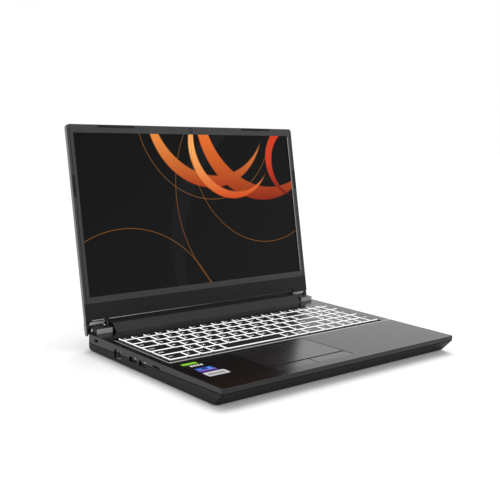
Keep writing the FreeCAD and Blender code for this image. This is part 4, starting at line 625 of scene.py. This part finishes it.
bodies = frame["record"]["behaviour"]["bodies"]
for group, words in LEGENDS.items():
    mesh = bmesh.new()
    for (low, high), word in zip(cap_tops(group), words):
        size = LETTER_SIZE if len(word) == 1 else WORD_SIZE
        size *= LOW_KEY_SHARE if group in LOW_KEYS else 1.0
        place = Vector((low.x + MARGIN, (low.y + high.y) / 2, KEY_TOP + PRINT_DEPTH / 2 - PRINT_SINK))
        lettering(mesh, word, size, place)
    body = next(name for name, members in bodies.items() if group in members)
    new_piece(group + "_legends", mesh, legend_ink, body)
print("legends on", len(LEGENDS), "groups")

# %% [markdown]
# ## Stickers on the palm rest
# Three thin stickers sit left of the touch pad. Their fields are plain colours with plain bars; each
# is a thin plate with rounded corners, glued to the deck.

# %% Stickers
PAD_DROP = 0.1 * MM
DECK_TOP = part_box("touchpad")[1].z + PAD_DROP
STICKER_DEEP = 0.1 * MM
STICKER_SINK = 0.01 * MM
STICKER_ROUND = 1.2 * MM


def sticker_paper(name, low_edge, fields, rough):
    """Printed film with bands of colour, in millimetres, from its front edge to the back."""
    material, tree, shader = new_material(name)
    place = add(tree, "ShaderNodeTexCoord").outputs["Object"]
    height = add(tree, "ShaderNodeSeparateXYZ", {"Vector": place}).outputs["Y"]
    deep = sum(field[0] for field in fields) * MM
    share = add(tree, "ShaderNodeMapRange", {"Value": height, "From Min": low_edge,
                                             "From Max": low_edge + deep})
    stops = []
    reached = 0.0
    for band, colour in fields:
        stops.append((reached * MM / deep, linear(colour)))
        reached += band
    bands = add(tree, "ShaderNodeValToRGB", {"Fac": share.outputs["Result"]}, stops=stops)
    bands.color_ramp.interpolation = "CONSTANT"
    tree.links.new(bands.outputs["Color"], shader.inputs["Base Color"])
    shader.inputs["Roughness"].default_value = rough
    return material


def sticker(name, middle, size, fields, rough):
    """A thin plate with rounded corners on the palm rest."""
    mesh = bmesh.new()
    bmesh.ops.create_cube(mesh, size=1.0)
    lift = DECK_TOP + STICKER_DEEP / 2 - STICKER_SINK
    place = Matrix.Translation((middle[0] * MM, middle[1] * MM, lift))
    scale = Matrix.Diagonal((size[0] * MM, size[1] * MM, STICKER_DEEP, 1.0))
    bmesh.ops.transform(mesh, matrix=place @ scale, verts=mesh.verts)
    upright = [edge for edge in mesh.edges
               if abs(edge.verts[0].co.z - edge.verts[1].co.z) > STICKER_DEEP / 2]
    bmesh.ops.bevel(mesh, geom=upright, offset=STICKER_ROUND, offset_type="OFFSET", affect="EDGES",
                    segments=4, profile=0.5, material=-1)
    paper = sticker_paper(name + " film", (middle[1] - size[1] / 2) * MM, fields, rough)
    new_piece(name, mesh, paper, "base")


sticker("sticker_green", (-157.5, -49.0), (19.0, 15.0),
        [(9.0, "#0a0a0a"), (6.0, "#86d42c")], 0.3)
sticker("sticker_blue", (-154.2, -68.2), (22.0, 14.0),
        [(4.0, "#4a2a9c"), (1.6, "#a08ce8"), (8.4, "#12389c")], 0.3)
sticker("sticker_silver", (-152.6, -84.0), (27.0, 12.5),
        [(3.0, "#c8c8ca"), (9.5, "#dadadc")], 0.35)
print("stickers made")

# %% [markdown]
# ## Small things
# A few thin pieces catch the eye although they are hardly solids: plain bars printed on the stickers,
# painted highlights where the palm rest meets the key field, along the bezel's window and on the lid's
# lower edge, nickel contacts inside the sockets and the printed marks above them, the ring round the
# camera with a painted glint, and painted shade in the gaps of the bezel, the seam and the touch pad. A
# gap could be cut into the mesh, but a thin black box of painted shade on the surface looks the same
# from arm's length and leaves the solid alone. Nearly all are boxes between two corners.

# %% Boxes between two corners
# A print or a line stands this far above its surface, in millimetres, and sinks into it as far.
PRINT_LIFT = 0.02
LINE_LIFT = 0.03


def slab(mesh, low, high):
    """Adds a box to a mesh, between two corners in millimetres."""
    middle = (Vector(low) + Vector(high)) / 2 * MM
    size = (Vector(high) - Vector(low)) * MM
    place = Matrix.Translation(middle) @ Matrix.Diagonal((*size, 1.0))
    bmesh.ops.create_cube(mesh, size=1.0, matrix=place)


key_boxes = [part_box(group) for group in KEY_GROUPS]
keys_low = Vector([min(box[0][axis] for box in key_boxes) for axis in range(3)]) / MM
keys_high = Vector([max(box[1][axis] for box in key_boxes) for axis in range(3)]) / MM
deck_top = DECK_TOP / MM
case_left, case_right = cad_box[0].x / MM, cad_box[1].x / MM
case_front = cad_box[0].y / MM
print("keys:", [round(side, 1) for side in keys_low], "to", [round(side, 1) for side in keys_high])

# %% Printing on the stickers
# Each ink prints a few plain bars: (left, right, front, back) in millimetres.
WHITE_BARS, WHITE_PITCH = 4, 4.2
DARK_BARS, DARK_PITCH = 6, 3.6
STICKER_BARS = {
    "white": ("#f0f0f0", [(-162.0 + WHITE_PITCH * bar, -159.2 + WHITE_PITCH * bar, -54.8, -50.6)
                          for bar in range(WHITE_BARS)]),
    "sky": ("#4fa0f2", [(-150.5, -146.0, -70.0, -63.5), (-163.5, -157.5, -66.8, -64.2)]),
    "dark": ("#1c1c1c", [(-163.0 + DARK_PITCH * bar, -160.8 + DARK_PITCH * bar, -86.4, -82.0)
                         for bar in range(DARK_BARS)]),
}
sticker_top = (DECK_TOP + STICKER_DEEP - STICKER_SINK) / MM
for ink, (colour, bars) in STICKER_BARS.items():
    print_ink = moulded_plastic(f"printing ink, {ink}", colour, colour, 0.4, grain=0.8, depth=0.002)
    mesh = bmesh.new()
    for left, right, front, back in bars:
        slab(mesh, (left, front, sticker_top - PRINT_LIFT), (right, back, sticker_top + PRINT_LIFT))
    new_piece(f"sticker_print_{ink}", mesh, print_ink, "base")
print("sticker print:", ", ".join(STICKER_BARS))

# %% Painted highlight at the edge of the key field
RECESS_REACH = 3.85
EDGE_DEEP = 2.6
EDGE_SIDE = 1.3
EDGE_TALL = 0.05
DECK_INSET = 3.0
recess_left = keys_low.x - RECESS_REACH
recess_front = keys_low.y - RECESS_REACH
deck_right = case_right - DECK_INSET

# A painted highlight: pale strips along the crease in front of the key field and along its left side.
painted_edge_highlight = moulded_plastic("painted highlight, edge", "#9a9a9a", "#b4b4b4", 0.35,
                             grain=0.8, depth=0.004)
mesh = bmesh.new()
slab(mesh, (recess_left, recess_front - EDGE_DEEP, deck_top - PRINT_LIFT),
     (deck_right, recess_front, deck_top + EDGE_TALL))
slab(mesh, (recess_left - EDGE_SIDE, recess_front - EDGE_DEEP, deck_top - PRINT_LIFT),
     (recess_left, keys_high.y, deck_top + EDGE_TALL))
new_piece("key_field_highlight", mesh, painted_edge_highlight, "base")
print("key field edge from", round(recess_left, 1), "to", round(deck_right, 1))

# %% Painted highlight on the lid's lower edge
LINE_WIDE = 0.8
LINE_INSET = 1.15
LINE_RUNS = [(-172.0, -155.5), (-149.0, 149.0)]
FADE_FROM, FADE_FULL = -150.0 * MM, 20.0 * MM
chin_low, chin_high = closed_box("lid_chin")
chin_face = chin_low.z / MM
chin_edge = chin_high.y / MM - LINE_INSET
# A painted highlight on the chin's lower bevel: pale at the left, fading to dark at the right.
painted_chin_highlight, tree, shader = new_material("painted highlight, fading to the right")
place = add(tree, "ShaderNodeTexCoord").outputs["Object"]
across = add(tree, "ShaderNodeSeparateXYZ", {"Vector": place}).outputs["X"]
share = add(tree, "ShaderNodeMapRange", {"Value": across, "From Min": FADE_FROM, "From Max": FADE_FULL})
fade = add(tree, "ShaderNodeValToRGB", {"Fac": share.outputs["Result"]},
           stops=[(0.0, linear("#c8c8c8")), (1.0, linear("#2c2c2c"))])
tree.links.new(fade.outputs["Color"], shader.inputs["Base Color"])
shader.inputs["Roughness"].default_value = 0.4
mesh = bmesh.new()
for left, right in LINE_RUNS:
    slab(mesh, (left, chin_edge - LINE_WIDE, chin_face - LINE_LIFT),
         (right, chin_edge, chin_face + LINE_LIFT))
bmesh.ops.transform(mesh, matrix=lid_turn, verts=mesh.verts)
new_piece("chin_highlight", mesh, painted_chin_highlight, "lid")
print("chin line at", round(chin_edge, 1), "mm with the lid shut")

# %% Contacts in the sockets
# A contact lies between two depths behind the mouth and two heights over the socket's floor.
NET_PINS, NET_PITCH, NET_PIN_HALF = 8, 1.02, 0.2
NET_PIN_REACH, NET_PIN_HEIGHTS = (2.0, 8.5), (1.0, 1.35)
USB_PINS, USB_PITCH, USB_PIN_HALF = 4, 2.2, 0.5
USB_PIN_REACH, USB_PIN_HEIGHTS = (0.9, 7.0), (2.95, 3.05)
USB_WIDE = 13.1
net_low, net_high = [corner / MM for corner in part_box("ethernet_socket")]
usb_low, usb_high = [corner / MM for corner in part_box("usb_sockets_left")]
net_y = (net_low.y + net_high.y) / 2
usb_places = [usb_high.y - USB_WIDE / 2, usb_low.y + USB_WIDE / 2]


def contacts(mesh, socket_low, y, count, pitch, half, reach, heights):
    """Adds a row of contacts to a mesh, centred on a place along the case's side."""
    for pin in range(count):
        pin_y = y + (pin - (count - 1) / 2) * pitch
        slab(mesh, (socket_low.x + reach[0], pin_y - half, socket_low.z + heights[0]),
             (socket_low.x + reach[1], pin_y + half, socket_low.z + heights[1]))


mesh = bmesh.new()
contacts(mesh, net_low, net_y, NET_PINS, NET_PITCH, NET_PIN_HALF, NET_PIN_REACH, NET_PIN_HEIGHTS)
for place in usb_places:
    contacts(mesh, usb_low, place, USB_PINS, USB_PITCH, USB_PIN_HALF, USB_PIN_REACH, USB_PIN_HEIGHTS)
new_piece("socket_contacts", mesh, nickel, "base")
print("contacts:", NET_PINS + len(usb_places) * USB_PINS)

# %% Printed marks
# Two small bars, one a step lower, stand above each socket, and a row of single ones in front.
MARK = 1.1
MARK_GAP = 0.2
MARK_RISE, MARK_STEP, MARK_TALL = 1.6, 0.4, 1.0
MARK_SINK = 0.05
FRONT_MARKS, FRONT_MARK_PITCH = 7, 6.0
FRONT_MARK_X, FRONT_MARK_Z = -140.5, 17.6
card_low, card_high = [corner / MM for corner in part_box("card_slot")]
card_y = (card_low.y + card_high.y) / 2
mark_ink = moulded_plastic("grey pad-print ink", "#0a0a0a", "#121212", 0.6, grain=0.5)
mesh = bmesh.new()
for y, top in ((net_y, net_high.z), (usb_places[0], usb_high.z), (usb_places[1], usb_high.z),
               (card_y, card_high.z)):
    for back, front, rise in ((-MARK, -MARK_GAP, MARK_RISE), (MARK_GAP, MARK, MARK_RISE - MARK_STEP)):
        slab(mesh, (case_left - PRINT_LIFT, y + back, top + rise),
             (case_left + MARK_SINK, y + front, top + rise + MARK_TALL))
new_piece("port_marks", mesh, mark_ink, "base")
mesh = bmesh.new()
for place in range(FRONT_MARKS):
    x = FRONT_MARK_X + place * FRONT_MARK_PITCH
    slab(mesh, (x, case_front - LINE_LIFT, FRONT_MARK_Z),
         (x + 2 * MARK, case_front + MARK_SINK, FRONT_MARK_Z + MARK))
new_piece("front_marks", mesh, mark_ink, "base")
print("marks made")

# %% Ring round the camera, with a painted glint
RING_OUT, RING_IN, RING_TALL = 2.8 * MM, 1.2 * MM, 0.06 * MM
GLINT_SHARE = 0.6
LENS_DROP = 4.8 * MM
bezel_low, bezel_high = closed_box("display_bezel")
ring_place = lid_turn @ Matrix.Translation((0.0, bezel_low.y + LENS_DROP, bezel_low.z))
mesh = bmesh.new()
bmesh.ops.create_circle(mesh, cap_ends=False, segments=32, radius=RING_OUT)
widened = bmesh.ops.extrude_edge_only(mesh, edges=list(mesh.edges))["geom"]
inner = [item for item in widened if isinstance(item, bmesh.types.BMVert)]
bmesh.ops.scale(mesh, vec=(RING_IN / RING_OUT, RING_IN / RING_OUT, 1.0), verts=inner)
raised = bmesh.ops.extrude_face_region(mesh, geom=list(mesh.faces))["geom"]
bmesh.ops.translate(mesh, vec=(0.0, 0.0, -RING_TALL),
                    verts=[item for item in raised if isinstance(item, bmesh.types.BMVert)])
bmesh.ops.recalc_face_normals(mesh, faces=mesh.faces)
bmesh.ops.transform(mesh, matrix=ring_place, verts=mesh.verts)
ring_black = moulded_plastic("dull black ring", "#020202", "#040404", 0.6,
                             grain=0.8, depth=0.002, specular=0.1)
new_piece("camera_ring", mesh, ring_black, "lid")
# A painted glint: a pale disc in the middle of the ring.
mesh = bmesh.new()
bmesh.ops.create_circle(mesh, cap_ends=True, segments=24, radius=RING_IN * GLINT_SHARE,
                        matrix=ring_place)
painted_lens_glint = moulded_plastic("painted glint on the camera glass", "#b0b4ba", "#c4c8d0", 0.1, grain=3.0, depth=0.001)
new_piece("camera_glint", mesh, painted_lens_glint, "lid")
print("camera ring made")

# %% Painted shade in the bezel groove and a painted highlight on the window edge
RIM_GROOVE = (176.7, 177.3)
GROOVE_START = 4.0
WINDOW_EDGE = (171.4, 172.4)
WINDOW_INSET = 3.0
WINDOW_SINK = 0.4
# Painted shade: near black for thin boxes in the gaps of the bezel, the seam and the touch pad.
painted_gap_shade = moulded_plastic("shadow gap, dull black", "#030303", "#050505", 0.7,
                               grain=0.8, specular=0.05)
bezel_face = bezel_low.z / MM
bezel_top, bezel_foot = bezel_low.y / MM, bezel_high.y / MM
window_low, window_high = panel_low.y / MM, panel_high.y / MM
# Painted shade: a near-black strip in the groove along each side of the bezel.
mesh = bmesh.new()
for sign in (-1, 1):
    low, high = sorted(sign * x for x in RIM_GROOVE)
    slab(mesh, (low, bezel_top + GROOVE_START, bezel_face - LINE_LIFT),
         (high, bezel_foot, bezel_face + LINE_LIFT))
bmesh.ops.transform(mesh, matrix=lid_turn, verts=mesh.verts)
new_piece("bezel_groove_shade", mesh, painted_gap_shade, "lid")
# A painted highlight: a pale strip along the window's right inner edge, where the wall catches the
# light.
mesh = bmesh.new()
slab(mesh, (WINDOW_EDGE[0], window_low + WINDOW_INSET, bezel_face - LINE_LIFT),
     (WINDOW_EDGE[1], window_high - WINDOW_INSET, bezel_face + WINDOW_SINK))
bmesh.ops.transform(mesh, matrix=lid_turn, verts=mesh.verts)
new_piece("window_highlight", mesh, painted_edge_highlight, "lid")
print("bezel groove and window edge made")

# %% Shadow line along the seam
# The runs leave out the mouths of the sockets: (front, back) in millimetres, on the left and right.
SEAM_TALL = 0.7
SEAM_SINK = 0.1
SEAM_INSET = 6.0
SEAM_RUNS = {-1: [(-124.0, -2.5), (33.5, 47.5), (64.0, 116.0)], 1: [(-124.0, -34.0), (35.0, 116.0)]}
tilt = Matrix.Translation((0.0, 0.0, SEAM_LEVEL)) @ Matrix.Rotation(-math.atan(SEAM_SLOPE), 4, "X")
mesh = bmesh.new()
for sign, runs in SEAM_RUNS.items():
    low, high = sorted((sign * (case_right - SEAM_SINK), sign * (case_right + LINE_LIFT)))
    for start, end in runs:
        slab(mesh, (low, start, -SEAM_TALL / 2), (high, end, SEAM_TALL / 2))
bmesh.ops.transform(mesh, matrix=tilt, verts=mesh.verts)
front_level = SEAM_FRONT / MM
slab(mesh, (case_left + SEAM_INSET, case_front - LINE_LIFT, front_level - SEAM_TALL / 2),
     (case_right - SEAM_INSET, case_front + SEAM_SINK, front_level + SEAM_TALL / 2))
new_piece("seam_shadow", mesh, painted_gap_shade, "base")
print("seam shadow at", round(front_level, 2), "mm in front")

# %% Painted shade in the grooves of the touch pad
GROOVE = 0.8
SPLIT_WIDE = 3 * GROOVE
pad_low, pad_high = [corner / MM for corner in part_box("touchpad")]
left_low, left_high = [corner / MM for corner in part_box("touchpad_left_button")]
right_low, right_high = [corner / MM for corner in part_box("touchpad_right_button")]
split = (left_high.y + pad_low.y) / 2
mesh = bmesh.new()
for x, front in ((pad_low.x, left_low.y), (pad_high.x, right_low.y)):
    slab(mesh, (x - GROOVE / 2, front, deck_top - PRINT_LIFT),
         (x + GROOVE / 2, pad_high.y, deck_top + PRINT_LIFT))
new_piece("touch_groove_shade", mesh, painted_gap_shade, "base")
mesh = bmesh.new()
slab(mesh, (pad_low.x, split, pad_high.z - PRINT_LIFT),
     (pad_high.x, split + SPLIT_WIDE, pad_high.z + PRINT_LIFT))
new_piece("touch_split_shade", mesh, painted_gap_shade, "base")
mesh = bmesh.new()
slab(mesh, (right_low.x, right_low.y, right_high.z - PRINT_LIFT),
     (right_low.x + GROOVE, right_high.y, right_high.z + PRINT_LIFT))
new_piece("button_split_shade", mesh, painted_gap_shade, "touchpad_right_button")
print("touch pad grooves made")

# %% [markdown]
# ## The studio
# The computer stands on a white table in a white tent. Black plastic looks black only if its own
# colour is very dark, since the white tent lies in every reflection. The floor is white enough to
# melt into the background, and a broad lamp overhead leaves a soft shadow around the foot of the
# case.

# %% Floor
FLOOR_SIZE = 12.0
FLOOR_GLOW = 0.13
mesh = bmesh.new()
bmesh.ops.create_grid(mesh, x_segments=1, y_segments=1, size=FLOOR_SIZE / 2)
floor_data = bpy.data.meshes.new("floor")
mesh.to_mesh(floor_data)
mesh.free()
floor_paint, tree, shader = new_material("white table paint")
shader.inputs["Base Color"].default_value = linear("#f4f4f4")
shader.inputs["Roughness"].default_value = 0.9
shader.inputs["Specular IOR Level"].default_value = 0.0
shader.inputs["Emission Color"].default_value = (1.0, 1.0, 1.0, 1.0)
shader.inputs["Emission Strength"].default_value = FLOOR_GLOW
floor_data.materials.append(floor_paint)
floor = bpy.data.objects.new("floor", floor_data)
bpy.context.scene.collection.objects.link(floor)
print("floor:", FLOOR_SIZE, "m across")

# %% Light
TENT_LIGHT = 0.6
LAMP_STRENGTH = 1.7
LAMP_SPREAD = math.radians(40.0)
LAMP_TILT = (math.radians(-14.0), math.radians(20.0), 0.0)

world = bpy.data.worlds.new("white tent")
bpy.context.scene.world = world
world.use_nodes = True
tree = world.node_tree
tree.nodes.clear()
rays = add(tree, "ShaderNodeLightPath")
seen = add(tree, "ShaderNodeMath", {0: rays.outputs["Is Camera Ray"], 1: rays.outputs["Is Glossy Ray"]},
           operation="MAXIMUM").outputs["Value"]
seen = add(tree, "ShaderNodeMath", {0: seen, 1: rays.outputs["Is Transmission Ray"]},
           operation="MAXIMUM").outputs["Value"]
strength = add(tree, "ShaderNodeMapRange", {"Value": seen, "To Min": TENT_LIGHT, "To Max": 1.0})
tent = add(tree, "ShaderNodeBackground", {"Color": (1.0, 1.0, 1.0, 1.0),
                                          "Strength": strength.outputs["Result"]})
add(tree, "ShaderNodeOutputWorld", {"Surface": tent.outputs["Background"]})

lamp_data = bpy.data.lights.new("overhead_lamp", "SUN")
lamp_data.energy = LAMP_STRENGTH
lamp_data.angle = LAMP_SPREAD
lamp = bpy.data.objects.new("overhead_lamp", lamp_data)
lamp.rotation_euler = LAMP_TILT
bpy.context.scene.collection.objects.link(lamp)
print("tent light:", TENT_LIGHT, "lamp:", LAMP_STRENGTH)
